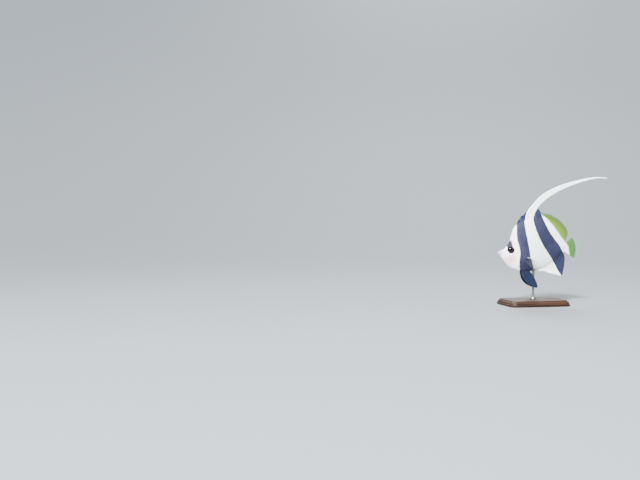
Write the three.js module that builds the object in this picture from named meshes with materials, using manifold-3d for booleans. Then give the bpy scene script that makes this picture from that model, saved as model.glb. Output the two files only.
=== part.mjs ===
// A pennant bannerfish, life size, held level on a display stand.
// Millimetres, +Z up. The snout points to -X and the left flank faces -Y.
// The origin is the centre of the underside of the stand's base.

import * as THREE from 'three';
import { mergeVertices } from 'three/addons/utils/BufferGeometryUtils.js';
import Module from 'manifold-3d';

const wasm = await Module();
wasm.setup();

// Driving dimensions. Fish sizes are measured back from the tip of the snout (x), up from it (z),
// and out from the mid-plane (y).
const SKIN_GAP = 0.3;              // what touching pieces keep between them
const ROD_FROM_SNOUT = 80;         // the rod stands under the middle of the body
const SNOUT_HEIGHT = 108;          // of the tip of the snout over the table
const CUT_REACH = 60;              // half width of a cutting tool, past the widest part

// Ribs of the body, from the lips to the root of the tail fin. Each runs from a point on the belly line up to
// one on the back line. half is the half width, and lean sets the widest place below the middle of the rib.
const RIBS = [
  { back: [0.9, 1.9], belly: [1.3, -1.7], half: 1.8, lean: 0 },
  { back: [3.6, 4.4], belly: [4.6, -4.8], half: 3.3, lean: 0 },
  { back: [9.5, 6.4], belly: [10.5, -11.2], half: 4.7, lean: 0 },
  { back: [16.5, 9.8], belly: [17.0, -19.2], half: 6.2, lean: -0.02 },
  { back: [23.2, 18.0], belly: [23.8, -26.6], half: 7.8, lean: -0.05 },
  { back: [28.2, 28.5], belly: [30.8, -31.6], half: 9.2, lean: -0.08 },
  { back: [31.2, 39.5], belly: [37.6, -34.6], half: 10.6, lean: -0.12 },
  { back: [35.0, 50.0], belly: [45.5, -37.3], half: 12.2, lean: -0.14 },
  { back: [43.0, 60.0], belly: [54.0, -39.6], half: 13.2, lean: -0.14 },
  { back: [57.0, 67.8], belly: [65.0, -39.0], half: 13.6, lean: -0.12 },
  { back: [74.0, 71.0], belly: [78.0, -36.0], half: 13.1, lean: -0.10 },
  { back: [91.0, 68.0], belly: [92.5, -33.4], half: 11.8, lean: -0.08 },
  { back: [107.0, 60.0], belly: [108.0, -28.0], half: 9.8, lean: -0.06 },
  { back: [122.0, 49.0], belly: [123.0, -20.0], half: 7.6, lean: -0.04 },
  { back: [135.0, 36.8], belly: [136.0, -10.0], half: 5.6, lean: -0.02 },
  { back: [143.5, 26.6], belly: [143.0, -2.0], half: 4.2, lean: 0 },
  { back: [150.0, 21.6], belly: [149.5, 0.6], half: 2.6, lean: 0 },
];
const FLANK_ROUNDNESS = 1.35;      // power of the cosine that shapes a cross-section: 1 is an ellipse
const RIDGE_GROWTH = 1.3;          // share of a growth that the slanting ridges of back and belly need
const RINGS_PER_RIB = 3;
const RING_POINTS = 14;            // on each flank, from the belly line to the back line

// The gill cover's rear edge, and how far the cover stands out from the flank there.
const GILL_X = 50.5;
const GILL_Z = -2;
const GILL_BEND_ABOVE = 15.5;
const GILL_BEND_BELOW = 9;
const COVER_RISE = 0.8;
const COVER_REACH = 11;
const COVER_FADE = 4;              // half width under which the rise fades out to the ridges
const CHEEK_LINE = [[37.5, 17], [39.3, 4], [38, -9], [33, -19], [24.5, -24.5]];
const CHEEK_GROOVE = { width: 0.8, depth: 0.7 };
const TAIL_STALK_X = 139;

// How far the cutting tools that part the body reach past it.
const HEAD_SPAN = [-48, 74];
const AHEAD_OF_SNOUT = -20;
const STALK_SPAN = [-20, 60];
const BEHIND_STALK = 160;

// The eye, its socket and the ring round it.
const EYE = { x: 26.6, z: 6.9, radius: 6.2, bulge: 2.0, depth: 4.0, backRadius: 5, sunk: 0.35 };
const ORBIT_RING = { radius: 6.85, section: 0.8, sunk: 0.2 };

// Lips as two ribs bent round the tip of the snout, with the line of the mouth between them.
const LIP = { section: 0.95, half: 2.35, back: 5.6, droop: 1.1, rise: 1.08, corner: 0.55, hook: 1.3 };
const NOSTRILS = [{ x: 15.6, z: 6.3, radius: 0.65 }, { x: 18.4, z: 8.3, radius: 0.8 }];
const NOSTRIL_STRETCH = [1, 1.5, 1.25];

// Fins. root and half are the half thickness at the root and at the margin, and ridge is how far a ray
// stands out on each face.
const ROOT_SINK = 5;
const SLIT_REACH = 20;             // of the cut that parts the spiny dorsal fin from the soft one
const FRONT_SPINES = {
  from: 7.95, to: 9.35, margin: [[41.5, 59.5], [46.5, 69], [52.6, 75.8], [60.6, 82.5], [66, 84]],
  web: [0.2, 1, 0.8, 1, 0.8, 1, 0.84, 1, 1], root: 1.5, half: 0.32, ridge: 0.4,
};
const PENNANT = {
  line: [[69.5, 56], [71.6, 80], [84, 100], [104, 117], [130, 131.6], [159, 143.3], [190, 152.2],
    [220, 157.8], [245, 157]],
  tipWidth: 1.4, rootWidth: 21.1, taper: 1.25, root: 1.5, half: 0.34, thinBy: 0.67,
  section: [0.62, 1, 0.7, 0.6, 0.55], sway: 3.5, swayTurn: 5.5,
};
const PENNANT_LENGTHS = [
  { name: 'dorsal_pennant_root', from: 0, to: 0.3, rows: 12 },
  { name: 'dorsal_pennant_middle', from: 0.3, to: 0.62, rows: 10 },
  { name: 'dorsal_pennant_tip', from: 0.62, to: 1, rows: 12 },
];
const DORSAL = {
  from: 10.05, to: 15.45,
  margin: [[84.5, 88], [90.9, 93.5], [96, 88], [103, 86.2], [116, 83], [130, 75.8], [141, 67.5], [150.5, 57],
    [156.5, 46.5], [157, 36.5], [152.5, 28]],
  spines: 6, rays: 15, root: 1.7, half: 0.28, ridge: 0.32,
};
const ANAL = {
  from: 10.9, to: 15.1,
  margin: [[92, -36], [103, -38.6], [116, -42.4], [129, -45.4], [143.6, -48.4], [147.6, -38], [150.2, -24],
    [150.9, -11], [149.2, -3.4]],
  spines: 3, rays: 12, root: 1.7, half: 0.28, ridge: 0.32,
};
const TAIL_FIN = {
  root: [[146, 16.6], [147, 11], [146, 5.4]],
  margin: [[170, 34.5], [176.6, 23.5], [180.3, 9.5], [179.2, -3], [175, -13.5]],
  rays: 15, thick: 2.1, half: 0.28, ridge: 0.34,
};
const PELVIC = {
  root: [[51, -34], [56.5, -34.3], [62, -34]],
  margin: [[80.5, -70.6], [86, -72.4], [84.2, -64], [79, -54], [72.5, -45.5], [66, -39]],
  rays: 6, thick: 1.1, half: 0.3, ridge: 0.26, offset: 2.2, splay: 0.17, bow: [8.5, 1.5],
};
const PECTORAL = {
  x: 54.5, z: -8, rootHeight: 8.5, length: 40, reach: [0.8, 0.98, 1, 0.88, 0.7, 0.5], fan: [0.2, -0.34],
  rays: 11, thick: 1.5, half: 0.27, ridge: 0.24, droop: 0.5, flare: 0.36, curl: 3, sunk: 2.4,
};
const FIN_ROWS = 5;
const PELVIC_ROWS = 7;
const FLESH = { reach: 0.62, power: 0.7 };       // how far up a fin its thick root runs, and how it thins
const RIDGE = { start: 0.25, tipLoss: 0.35 };    // where a ray's ridge has its full height, and what it loses
const MEMBRANE_SHORT = 0.985;                    // the membrane between soft rays ends this far along them
const SPINE_WEB = 0.89;                          // and here between spines

// The stand.
const BASE = { length: 132, width: 84, height: 12, corner: 14, chamfer: 1.6 };
const ROD = { radius: 2.5, top: -31, sides: 24 };
const COLLAR = { radius: 7.5, rim: 1.4, shoulder: 1.2, height: 4, neck: 0.8 };
const SADDLE = { radius: 4.4, height: 10, rib: 10.15, swell: 0.9 };

// Finishes.
const finish = (color, roughness, metalness = 0, opacity = 1) =>
  new THREE.MeshStandardMaterial({ color, roughness, metalness, opacity, transparent: opacity < 1 });
const FACE_WHITE = finish(0xe9e2ea, 0.45);
const BODY_WHITE = finish(0xf2f4f2, 0.42);
const BAND_BLACK = finish(0x1c2030, 0.45);
const FIN_YELLOW = finish(0xe2cf4a, 0.45);
const FIN_CLEAR = finish(0xe8e2b8, 0.4, 0, 0.7);
const EYE_DARK = finish(0x15100f, 0.08);
const STAND_WOOD = finish(0x4a2c1c, 0.42);
const STAND_STEEL = finish(0xb9bcc0, 0.3, 1);

// Solids and meshes

function solidOf(geometry) {
  const bare = geometry.clone();
  bare.deleteAttribute('normal');
  bare.deleteAttribute('uv');
  const merged = mergeVertices(bare, 1e-4);
  return new wasm.Manifold(new wasm.Mesh({
    numProp: 3,
    vertProperties: Float32Array.from(merged.attributes.position.array),
    triVerts: Uint32Array.from(merged.index.array),
  }));
}

function geometryOf(solid) {
  const mesh = solid.getMesh();
  const geometry = new THREE.BufferGeometry();
  geometry.setAttribute('position', new THREE.BufferAttribute(Float32Array.from(mesh.vertProperties), 3));
  geometry.setIndex(new THREE.BufferAttribute(Uint32Array.from(mesh.triVerts), 1));
  geometry.computeVertexNormals();
  return geometry;
}

const largest = (solid) => solid.decompose().reduce((a, b) => (a.volume() > b.volume() ? a : b));

function meshOf(name, solid, material) {
  const mesh = new THREE.Mesh(geometryOf(largest(solid)), material);
  mesh.name = name;
  return mesh;
}

function closedGeometry(points, triangles) {
  const geometry = new THREE.BufferGeometry().setFromPoints(points);
  geometry.setIndex(triangles.flat());
  return geometry;
}

// A closed skin through rings of points that run the same way round, with a fan over each end.
function loft(rings) {
  const count = rings[0].length;
  const points = rings.flat();
  const triangles = [];
  for (let i = 0; i + 1 < rings.length; i += 1) {
    for (let j = 0; j < count; j += 1) {
      const a = i * count + j;
      const b = i * count + (j + 1) % count;
      triangles.push([a, b, b + count], [a, b + count, a + count]);
    }
  }
  [[rings[0], 0, true], [rings.at(-1), (rings.length - 1) * count, false]].forEach(([ring, start, first]) => {
    const middle = ring.reduce((sum, p) => sum.add(p), new THREE.Vector3()).divideScalar(count);
    points.push(middle);
    for (let j = 0; j < count; j += 1) {
      const a = start + j;
      const b = start + (j + 1) % count;
      triangles.push(first ? [b, a, points.length - 1] : [a, b, points.length - 1]);
    }
  });
  return closedGeometry(points, triangles);
}

// A thin closed sheet. place(s, v) gives a point of its middle surface, s along the root and v from the root
// to the margin. normal is its right-hand side, and half(s, v) its half thickness. Both faces have the same
// triangles.
function sheet({ columns, rows, place, normal, half }) {
  const across = columns + 1;
  const points = [];
  [1, -1].forEach((side) => {
    for (let r = 0; r <= rows; r += 1) {
      for (let c = 0; c <= columns; c += 1) {
        const s = c / columns;
        const v = r / rows;
        points.push(place(s, v, c).addScaledVector(normal, side * half(s, v, c)));
      }
    }
  });
  const far = across * (rows + 1);
  const triangles = [];
  const quad = (a, b, c, d) => triangles.push([a, b, c], [a, c, d]);
  for (let r = 0; r < rows; r += 1) {
    for (let c = 0; c < columns; c += 1) {
      const a = r * across + c;
      const b = a + 1;
      const d = a + across;
      triangles.push([a, b, d + 1], [a, d + 1, d]);
      triangles.push([far + a, far + d + 1, far + b], [far + a, far + d, far + d + 1]);
    }
    const left = r * across;
    const right = left + columns;
    quad(left, left + across, far + left + across, far + left);
    quad(right + across, right, far + right, far + right + across);
  }
  for (let c = 0; c < columns; c += 1) {
    const top = rows * across + c;
    quad(c + 1, c, far + c, far + c + 1);
    quad(top, top + 1, far + top + 1, far + top);
  }
  const solid = solidOf(closedGeometry(points, triangles));
  if (solid.volume() > 0) return solid;
  return solidOf(closedGeometry(points, triangles.map(([a, b, c]) => [a, c, b])));
}

// An outline in the mid-plane, made as thick as a cutting tool needs.
function prism(outline, halfWidth) {
  const shape = new THREE.Shape(outline.map(([x, z]) => new THREE.Vector2(x, z)));
  const geometry = new THREE.ExtrudeGeometry(shape, { depth: 2 * halfWidth, bevelEnabled: false });
  geometry.rotateX(Math.PI / 2);
  geometry.translate(0, halfWidth, 0);
  return solidOf(geometry);
}

const spline = (points) => new THREE.SplineCurve(points.map(([x, z]) => new THREE.Vector2(x, z)));
const mix = THREE.MathUtils.lerp;

// The body

const LAST_RIB = RIBS.length - 1;
const BACK = spline(RIBS.map((rib) => rib.back));
const BELLY = spline(RIBS.map((rib) => rib.belly));
const BUILD = spline(RIBS.map((rib) => [rib.half, rib.lean]));

// Rib number u, which need not be whole, grown outward all round by grow.
function ribAt(u, grow = 0) {
  const back = BACK.getPoint(u / LAST_RIB);
  const belly = BELLY.getPoint(u / LAST_RIB);
  const { x: half, y: lean } = BUILD.getPoint(u / LAST_RIB);
  const up = back.clone().sub(belly).normalize();
  back.addScaledVector(up, RIDGE_GROWTH * grow);
  belly.addScaledVector(up, -RIDGE_GROWTH * grow);
  return { back, belly, half: half + grow, lean };
}

// The rear edge of the gill cover at height z.
const gillEdge = (z) => {
  const bend = z > GILL_Z ? GILL_BEND_ABOVE : GILL_BEND_BELOW;
  return GILL_X - ((z - GILL_Z) / bend) ** 2;
};

// How far the gill cover stands out of the flank, most at its rear edge.
function coverRise(x, z) {
  const ahead = Math.max(gillEdge(z) - x, 0) / COVER_REACH;
  return COVER_RISE * Math.exp(-ahead * ahead);
}

function bodySolid({ grow = 0, covered = false }) {
  const rings = [];
  const steps = LAST_RIB * RINGS_PER_RIB;
  for (let i = 0; i <= steps; i += 1) {
    const { back, belly, half, lean } = ribAt(i / RINGS_PER_RIB, grow);
    const end = i === 0 ? -grow : (i === steps ? grow : 0);
    const ring = [];
    for (let j = 0; j < 2 * RING_POINTS; j += 1) {
      const angle = (j / RING_POINTS - 0.5) * Math.PI;
      const out = Math.cos(angle);
      const along = (Math.sin(angle) + lean * out * out + 1) / 2;
      const x = mix(belly.x, back.x, along) + end;
      const z = mix(belly.y, back.y, along);
      const bare = half * Math.abs(out) ** FLANK_ROUNDNESS;
      const width = bare + (covered ? coverRise(x, z) * Math.min(1, bare / COVER_FADE) : 0);
      ring.push(new THREE.Vector3(x, -Math.sign(out) * (Math.abs(out) < 1e-9 ? 0 : width), z));
    }
    rings.push(ring);
  }
  const solid = solidOf(loft(rings));
  return solid.volume() > 0 ? solid : solidOf(loft(rings.reverse()));
}

// Half width of the body at a place in the mid-plane.
function flankAt(x, z) {
  let low = 0;
  let high = LAST_RIB;
  for (let i = 0; i < 40; i += 1) {
    const u = (low + high) / 2;
    const { back, belly } = ribAt(u);
    const share = (z - belly.y) / (back.y - belly.y);
    if (mix(belly.x, back.x, share) < x) low = u;
    else high = u;
  }
  const { back, belly, half, lean } = ribAt(low);
  const height = 2 * (z - belly.y) / (back.y - belly.y) - 1;
  let sine = height;
  for (let i = 0; i < 20; i += 1) sine = height - lean * (1 - sine * sine);
  return half * (1 - sine * sine) ** (FLANK_ROUNDNESS / 2);
}

const grownBody = bodySolid({ grow: SKIN_GAP });
const clearOfBody = (solid) => solid.subtract(grownBody);

// The eye: a shallow dome on a flat back, in a socket that clears it all round.
function eyeSolid(side, gap) {
  const { radius, bulge, depth, backRadius } = EYE;
  const profile = [new THREE.Vector2(0, -depth - gap)];
  profile.push(new THREE.Vector2(backRadius + gap, -depth - gap));
  const steps = 7;
  for (let i = 0; i <= steps; i += 1) {
    const angle = (i / steps) * Math.PI / 2;
    const reach = i === steps ? 0 : (radius + gap) * Math.cos(angle);
    profile.push(new THREE.Vector2(reach, (bulge + gap) * Math.sin(angle)));
  }
  const geometry = new THREE.LatheGeometry(profile, 28);
  return solidOf(geometry.applyMatrix4(eyeFrame(side, EYE.sunk)));
}

// The frame of one eye: its Y axis stands square to the flank, so it looks out and a little forward.
function eyeFrame(side, sunk) {
  const { x, z, radius } = EYE;
  const slopeX = (flankAt(x + radius, z) - flankAt(x - radius, z)) / (2 * radius);
  const slopeZ = (flankAt(x, z + radius) - flankAt(x, z - radius)) / (2 * radius);
  const outward = new THREE.Vector3(-slopeX, side, -slopeZ).normalize();
  const middle = new THREE.Vector3(x, side * flankAt(x, z), z).addScaledVector(outward, -sunk);
  const turn = new THREE.Quaternion().setFromUnitVectors(new THREE.Vector3(0, 1, 0), outward);
  return new THREE.Matrix4().compose(middle, turn, new THREE.Vector3(1, 1, 1));
}

function orbitRing(side) {
  const ring = new THREE.TorusGeometry(ORBIT_RING.radius, ORBIT_RING.section, 8, 28);
  ring.rotateX(Math.PI / 2);
  return solidOf(ring.applyMatrix4(eyeFrame(side, ORBIT_RING.sunk)));
}

// One lip, bent round the tip of the snout from one corner of the mouth to the other.
function lipSolid(level) {
  const path = [];
  for (let i = -4; i <= 4; i += 1) {
    const angle = (i / 4) * Math.PI / 2;
    const back = LIP.section + (LIP.back - LIP.section) * (1 - Math.cos(angle)) ** LIP.hook;
    const drop = LIP.droop * (1 - Math.cos(angle));
    const rise = level * mix(LIP.rise, LIP.corner, (i / 4) ** 4);
    path.push(new THREE.Vector3(back, LIP.half * Math.sin(angle), rise - drop));
  }
  const section = new THREE.Shape().absarc(0, 0, LIP.section, 0, 2 * Math.PI);
  const curve = new THREE.CatmullRomCurve3(path);
  const sweep = { steps: 12, curveSegments: 8, bevelEnabled: false, extrudePath: curve };
  return solidOf(new THREE.ExtrudeGeometry(section, sweep));
}

function nostrilTool({ x, z, radius }, side) {
  const pit = new THREE.SphereGeometry(radius, 10, 7);
  pit.scale(...NOSTRIL_STRETCH);
  pit.translate(x, side * flankAt(x, z), z);
  return solidOf(pit);
}

// The groove at the rear of the cheek, ahead of the gill cover.
function cheekGroove() {
  const line = spline(CHEEK_LINE).getPoints(14);
  const half = CHEEK_GROOVE.width / 2;
  const fore = line.map((p) => [p.x - half, p.y + half]);
  const rear = line.map((p) => [p.x + half, p.y - half]).reverse();
  const core = bodySolid({ grow: -CHEEK_GROOVE.depth });
  return prism([...fore, ...rear], CUT_REACH).subtract(core);
}

// Everything ahead of the gill opening, with its rear edge moved by shift.
function aheadOfGill(shift) {
  const [low, high] = HEAD_SPAN;
  const steps = 24;
  const edge = [];
  for (let i = 0; i <= steps; i += 1) {
    const z = mix(low, high, i / steps);
    edge.push([gillEdge(z) + shift, z]);
  }
  return prism([[AHEAD_OF_SNOUT, low], ...edge, [AHEAD_OF_SNOUT, high]], CUT_REACH);
}

function headMesh() {
  let head = bodySolid({ covered: true }).intersect(aheadOfGill(0));
  [-1, 1].forEach((side) => { head = head.add(orbitRing(side)); });
  [1, -1].forEach((level) => { head = head.add(lipSolid(level)); });
  head = head.subtract(cheekGroove());
  [-1, 1].forEach((side) => {
    head = head.subtract(eyeSolid(side, SKIN_GAP));
    NOSTRILS.forEach((nostril) => { head = head.subtract(nostrilTool(nostril, side)); });
  });
  return meshOf('head', head, FACE_WHITE);
}

function trunkMeshes() {
  const behind = bodySolid({}).subtract(aheadOfGill(SKIN_GAP));
  const [low, high] = STALK_SPAN;
  const from = (x) => prism([[x, low], [x, high], [BEHIND_STALK, high], [BEHIND_STALK, low]], CUT_REACH);
  return [
    meshOf('torso', behind.subtract(from(TAIL_STALK_X - SKIN_GAP)), BODY_WHITE),
    meshOf('tail', behind.intersect(from(TAIL_STALK_X)), BODY_WHITE),
  ];
}

// Fins

// A root line under the back or the belly, from rib from to rib to.
function sunkRoot(edge, from, to) {
  return (s) => {
    const u = mix(from, to, s);
    const { back, belly } = ribAt(u);
    const down = belly.clone().sub(back).normalize();
    return edge === 'back' ? back.addScaledVector(down, ROOT_SINK) : belly.addScaledVector(down, -ROOT_SINK);
  };
}

// Half thickness of a fin: thick in the flesh at its root, thin to its margin. The ray on each odd column is
// a ridge that rises out of the flesh and is lower again at its tip.
const finHalf = ({ root, half, ridge }) => (s, v, column) =>
  mix(root, half, Math.min(1, v / FLESH.reach) ** FLESH.power)
  + (column % 2 ? ridge * Math.min(1, v / RIDGE.start) * (1 - RIDGE.tipLoss * v) : 0);

function midplaneFin({ root, margin, columns, spec, notch = () => 1 }) {
  const place = (s, v, column) => {
    const from = root(s);
    const point = from.lerp(margin(s), v * notch(column));
    return new THREE.Vector3(point.x, 0, point.y);
  };
  return sheet({ columns, rows: FIN_ROWS, place, normal: new THREE.Vector3(0, 1, 0), half: finHalf(spec) });
}

// The centre line, width and side sway of the long white filament, t from its root to its tip.
const PENNANT_LINE = spline(PENNANT.line);
const pennantWidth = (t) =>
  PENNANT.tipWidth + (PENNANT.rootWidth - PENNANT.tipWidth) * (1 - t) ** PENNANT.taper;

function pennantAt(t, across) {
  const centre = PENNANT_LINE.getPointAt(t);
  const along = PENNANT_LINE.getTangentAt(t);
  const offset = (across - 0.5) * pennantWidth(t);
  const sway = PENNANT.sway * t * Math.sin(PENNANT.swayTurn * t);
  return new THREE.Vector3(centre.x + along.y * offset, sway, centre.y - along.x * offset);
}

// Half thickness of the filament. Its long spine is the thick front edge, with a thinner membrane behind it.
function pennantHalf(t, column) {
  const full = mix(PENNANT.root, PENNANT.half, Math.min(1, t / PENNANT.thinBy));
  return Math.max(PENNANT.half, full * PENNANT.section[column]);
}

function pennantMeshes() {
  const gap = SKIN_GAP / 2 / PENNANT_LINE.getLength();
  return PENNANT_LENGTHS.map(({ name, from, to, rows }) => {
    const start = from > 0 ? from + gap : from;
    const end = to < 1 ? to - gap : to;
    const solid = sheet({
      columns: PENNANT.section.length - 1,
      rows,
      place: (s, v) => pennantAt(mix(start, end, v), s),
      normal: new THREE.Vector3(0, 1, 0),
      half: (s, v, column) => pennantHalf(mix(start, end, v), column),
    });
    return meshOf(name, from > 0 ? solid : clearOfBody(solid), BODY_WHITE);
  });
}

// The space that the filament's root takes between its neighbours.
function pennantClearance() {
  const front = [];
  const rear = [];
  const steps = 14;
  for (let i = 0; i <= steps; i += 1) {
    const t = (i / steps) * 0.5;
    const grow = SKIN_GAP / pennantWidth(t);
    const a = pennantAt(t, -grow);
    const b = pennantAt(t, 1 + grow);
    front.push([a.x, a.z]);
    rear.push([b.x, b.z]);
  }
  return prism([...front, ...rear.reverse()], CUT_REACH);
}

// Three short spines ahead of the filament, with the membrane notched behind each.
function frontSpinesMesh(clearance) {
  const { from, to, web } = FRONT_SPINES;
  const margin = spline(FRONT_SPINES.margin);
  const solid = midplaneFin({
    root: sunkRoot('back', from, to), columns: web.length - 1, spec: FRONT_SPINES,
    margin: (s) => margin.getPoint(s),
    notch: (column) => web[column],
  });
  return meshOf('dorsal_fin_front', clearOfBody(solid).subtract(clearance), BAND_BLACK);
}

// The dorsal fin behind the filament: spines first, then soft rays.
function dorsalMeshes(clearance) {
  const { from, to, spines, rays } = DORSAL;
  const margin = spline(DORSAL.margin);
  const columns = 2 * (spines + rays);
  const fin = midplaneFin({
    root: sunkRoot('back', from, to), columns, spec: DORSAL,
    margin: (s) => margin.getPointAt(s),
    notch: (column) => (column % 2 ? 1 : (column < 2 * spines ? SPINE_WEB : MEMBRANE_SHORT)),
  });
  const whole = largest(clearOfBody(fin).subtract(clearance));
  const share = spines / (spines + rays);
  const low = sunkRoot('back', from, to)(share);
  const high = margin.getPointAt(share);
  const out = high.clone().sub(low).normalize();
  const side = new THREE.Vector2(out.y, -out.x).multiplyScalar(SKIN_GAP / 2);
  const foot = low.clone().addScaledVector(out, -SLIT_REACH);
  const tip = high.clone().addScaledVector(out, SLIT_REACH);
  const slit = prism([[foot.x - side.x, foot.y - side.y], [foot.x + side.x, foot.y + side.y],
    [tip.x + side.x, tip.y + side.y], [tip.x - side.x, tip.y - side.y]], CUT_REACH);
  const parts = whole.subtract(slit).decompose().sort((a, b) => b.volume() - a.volume()).slice(0, 2);
  parts.sort((a, b) => a.boundingBox().min[0] - b.boundingBox().min[0]);
  return [
    meshOf('dorsal_fin_spines', parts[0], BAND_BLACK),
    meshOf('dorsal_fin_rays', parts[1], FIN_YELLOW),
  ];
}

function analMesh() {
  const margin = spline(ANAL.margin);
  const solid = midplaneFin({
    root: sunkRoot('belly', ANAL.from, ANAL.to), columns: 2 * (ANAL.spines + ANAL.rays), spec: ANAL,
    margin: (s) => margin.getPointAt(s),
    notch: (column) => (column % 2 ? 1 : (column < 2 * ANAL.spines ? SPINE_WEB : MEMBRANE_SHORT)),
  });
  return meshOf('anal_fin', clearOfBody(solid), BODY_WHITE);
}

function tailFinMesh() {
  const root = spline(TAIL_FIN.root);
  const margin = spline(TAIL_FIN.margin);
  const solid = midplaneFin({
    columns: 2 * TAIL_FIN.rays, spec: { root: TAIL_FIN.thick, half: TAIL_FIN.half, ridge: TAIL_FIN.ridge },
    root: (s) => root.getPointAt(s),
    margin: (s) => margin.getPointAt(s),
    notch: (column) => (column % 2 ? 1 : MEMBRANE_SHORT),
  });
  return meshOf('tail_fin', clearOfBody(solid), FIN_YELLOW);
}

// A pelvic fin trails back and down from the breast and spreads outward.
function pelvicMesh(side) {
  const root = spline(PELVIC.root);
  const margin = spline(PELVIC.margin);
  const { offset, splay, bow } = PELVIC;
  const solid = sheet({
    columns: 2 * PELVIC.rays,
    rows: PELVIC_ROWS,
    place: (s, v, column) => {
      const foot = root.getPointAt(s);
      const ray = margin.getPointAt(s).sub(foot);
      const reach = v * (column % 2 ? 1 : MEMBRANE_SHORT);
      const bend = 4 * reach * (1 - reach) * mix(...bow, s) / ray.length();
      const square = new THREE.Vector2(ray.y, -ray.x);
      const point = foot.addScaledVector(ray, reach).addScaledVector(square, bend);
      return new THREE.Vector3(point.x, side * (offset + splay * (PELVIC.root[0][1] - point.y)), point.y);
    },
    normal: new THREE.Vector3(0, Math.cos(splay), Math.sin(splay) * side),
    half: finHalf({ root: PELVIC.thick, half: PELVIC.half, ridge: PELVIC.ridge }),
  });
  return meshOf(side < 0 ? 'pelvic_fin_left' : 'pelvic_fin_right', clearOfBody(solid), BAND_BLACK);
}

// A pectoral fin is a fan that sweeps back and down along the flank and stands off it.
function pectoralMesh(side) {
  const { x, z, rootHeight, length, reach, fan, droop, flare, curl, sunk } = PECTORAL;
  const lengths = spline(reach.map((share, i) => [i, share]));
  const along = new THREE.Vector3(Math.cos(droop) * Math.cos(flare), side * Math.sin(flare),
    -Math.sin(droop) * Math.cos(flare));
  const across = new THREE.Vector3(Math.sin(droop), 0, Math.cos(droop));
  const normal = along.clone().cross(across).normalize();
  const base = new THREE.Vector3(x, side * (flankAt(x, z) - sunk), z);
  const solid = sheet({
    columns: 2 * PECTORAL.rays,
    rows: FIN_ROWS,
    place: (s, v, column) => {
      const out = v * (column % 2 ? 1 : MEMBRANE_SHORT) * length * lengths.getPoint(s).y;
      const angle = mix(...fan, s);
      return base.clone().addScaledVector(along, out * Math.cos(angle))
        .addScaledVector(across, (0.5 - s) * rootHeight + out * Math.sin(angle))
        .add(new THREE.Vector3(0, -side * curl * v * v, 0));
    },
    normal,
    half: finHalf({ root: PECTORAL.thick, half: PECTORAL.half, ridge: PECTORAL.ridge }),
  });
  return meshOf(side < 0 ? 'pectoral_fin_left' : 'pectoral_fin_right', clearOfBody(solid), FIN_CLEAR);
}

// The stand

// A base with round corners and chamfered edges.
function baseMesh() {
  const { length, width, height, corner, chamfer } = BASE;
  const shape = new THREE.Shape();
  const x = length / 2 - chamfer;
  const y = width / 2 - chamfer;
  const r = corner - chamfer;
  shape.moveTo(-x + r, -y);
  shape.lineTo(x - r, -y);
  shape.absarc(x - r, -y + r, r, -Math.PI / 2, 0);
  shape.absarc(x - r, y - r, r, 0, Math.PI / 2);
  shape.absarc(-x + r, y - r, r, Math.PI / 2, Math.PI);
  shape.absarc(-x + r, -y + r, r, Math.PI, 1.5 * Math.PI);
  const plate = new THREE.ExtrudeGeometry(shape, {
    depth: height - 2 * chamfer, curveSegments: 8,
    bevelThickness: chamfer, bevelSize: chamfer, bevelSegments: 1,
  });
  plate.translate(0, 0, chamfer);
  return meshOf('stand_base', solidOf(plate), STAND_WOOD);
}

// A rod with a collar on the base and a flared saddle that takes the belly.
function rodMesh() {
  const foot = BASE.height - SNOUT_HEIGHT + SKIN_GAP;
  const { radius, top, sides } = ROD;
  const belly = BELLY.getPoint(SADDLE.rib / LAST_RIB).y;
  const collar = [[0, foot], [COLLAR.radius, foot], [COLLAR.radius, foot + COLLAR.rim],
    [COLLAR.radius - COLLAR.shoulder, foot + 2 * COLLAR.rim], [radius + COLLAR.neck, foot + COLLAR.height],
    [radius, foot + COLLAR.height + COLLAR.rim]];
  const saddle = [[radius, belly - SADDLE.height], [radius + SADDLE.swell, belly - SADDLE.height / 2],
    [SADDLE.radius, belly], [SADDLE.radius, top], [0, top]];
  const profile = [...collar, ...saddle].map(([r, z]) => new THREE.Vector2(r, z));
  const turned = new THREE.LatheGeometry(profile, sides);
  turned.rotateX(Math.PI / 2);
  turned.translate(ROD_FROM_SNOUT, 0, 0);
  return meshOf('stand_rod', clearOfBody(solidOf(turned)), STAND_STEEL);
}

// The model

const fish = new THREE.Group();
fish.position.set(-ROD_FROM_SNOUT, 0, SNOUT_HEIGHT);
const clearance = pennantClearance();
fish.add(headMesh(), ...trunkMeshes());
[-1, 1].forEach((side) => {
  fish.add(meshOf(side < 0 ? 'eye_left' : 'eye_right', eyeSolid(side, 0), EYE_DARK));
  fish.add(pectoralMesh(side), pelvicMesh(side));
});
fish.add(frontSpinesMesh(clearance), ...pennantMeshes(), ...dorsalMeshes(clearance));
fish.add(analMesh(), tailFinMesh(), rodMesh());

const model = new THREE.Group();
model.add(baseMesh(), fish);

export default model;
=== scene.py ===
# %% [markdown]
# A museum model of a pennant bannerfish, life size, on a small wooden stand. The construction is already
# settled as a fixed frame of plain solids, and this lesson dresses it: one continuous skin, a coat of real
# scales, finely rayed fins, glossy eyes and a turned steel and walnut stand.
# Every piece is made in the frame's own place, in metres, so nothing is fitted afterwards.

# %% Load the fixed frame
import math

import bpy
import numpy as np
from mathutils import Matrix, Vector
from mathutils.bvhtree import BVHTree


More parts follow.
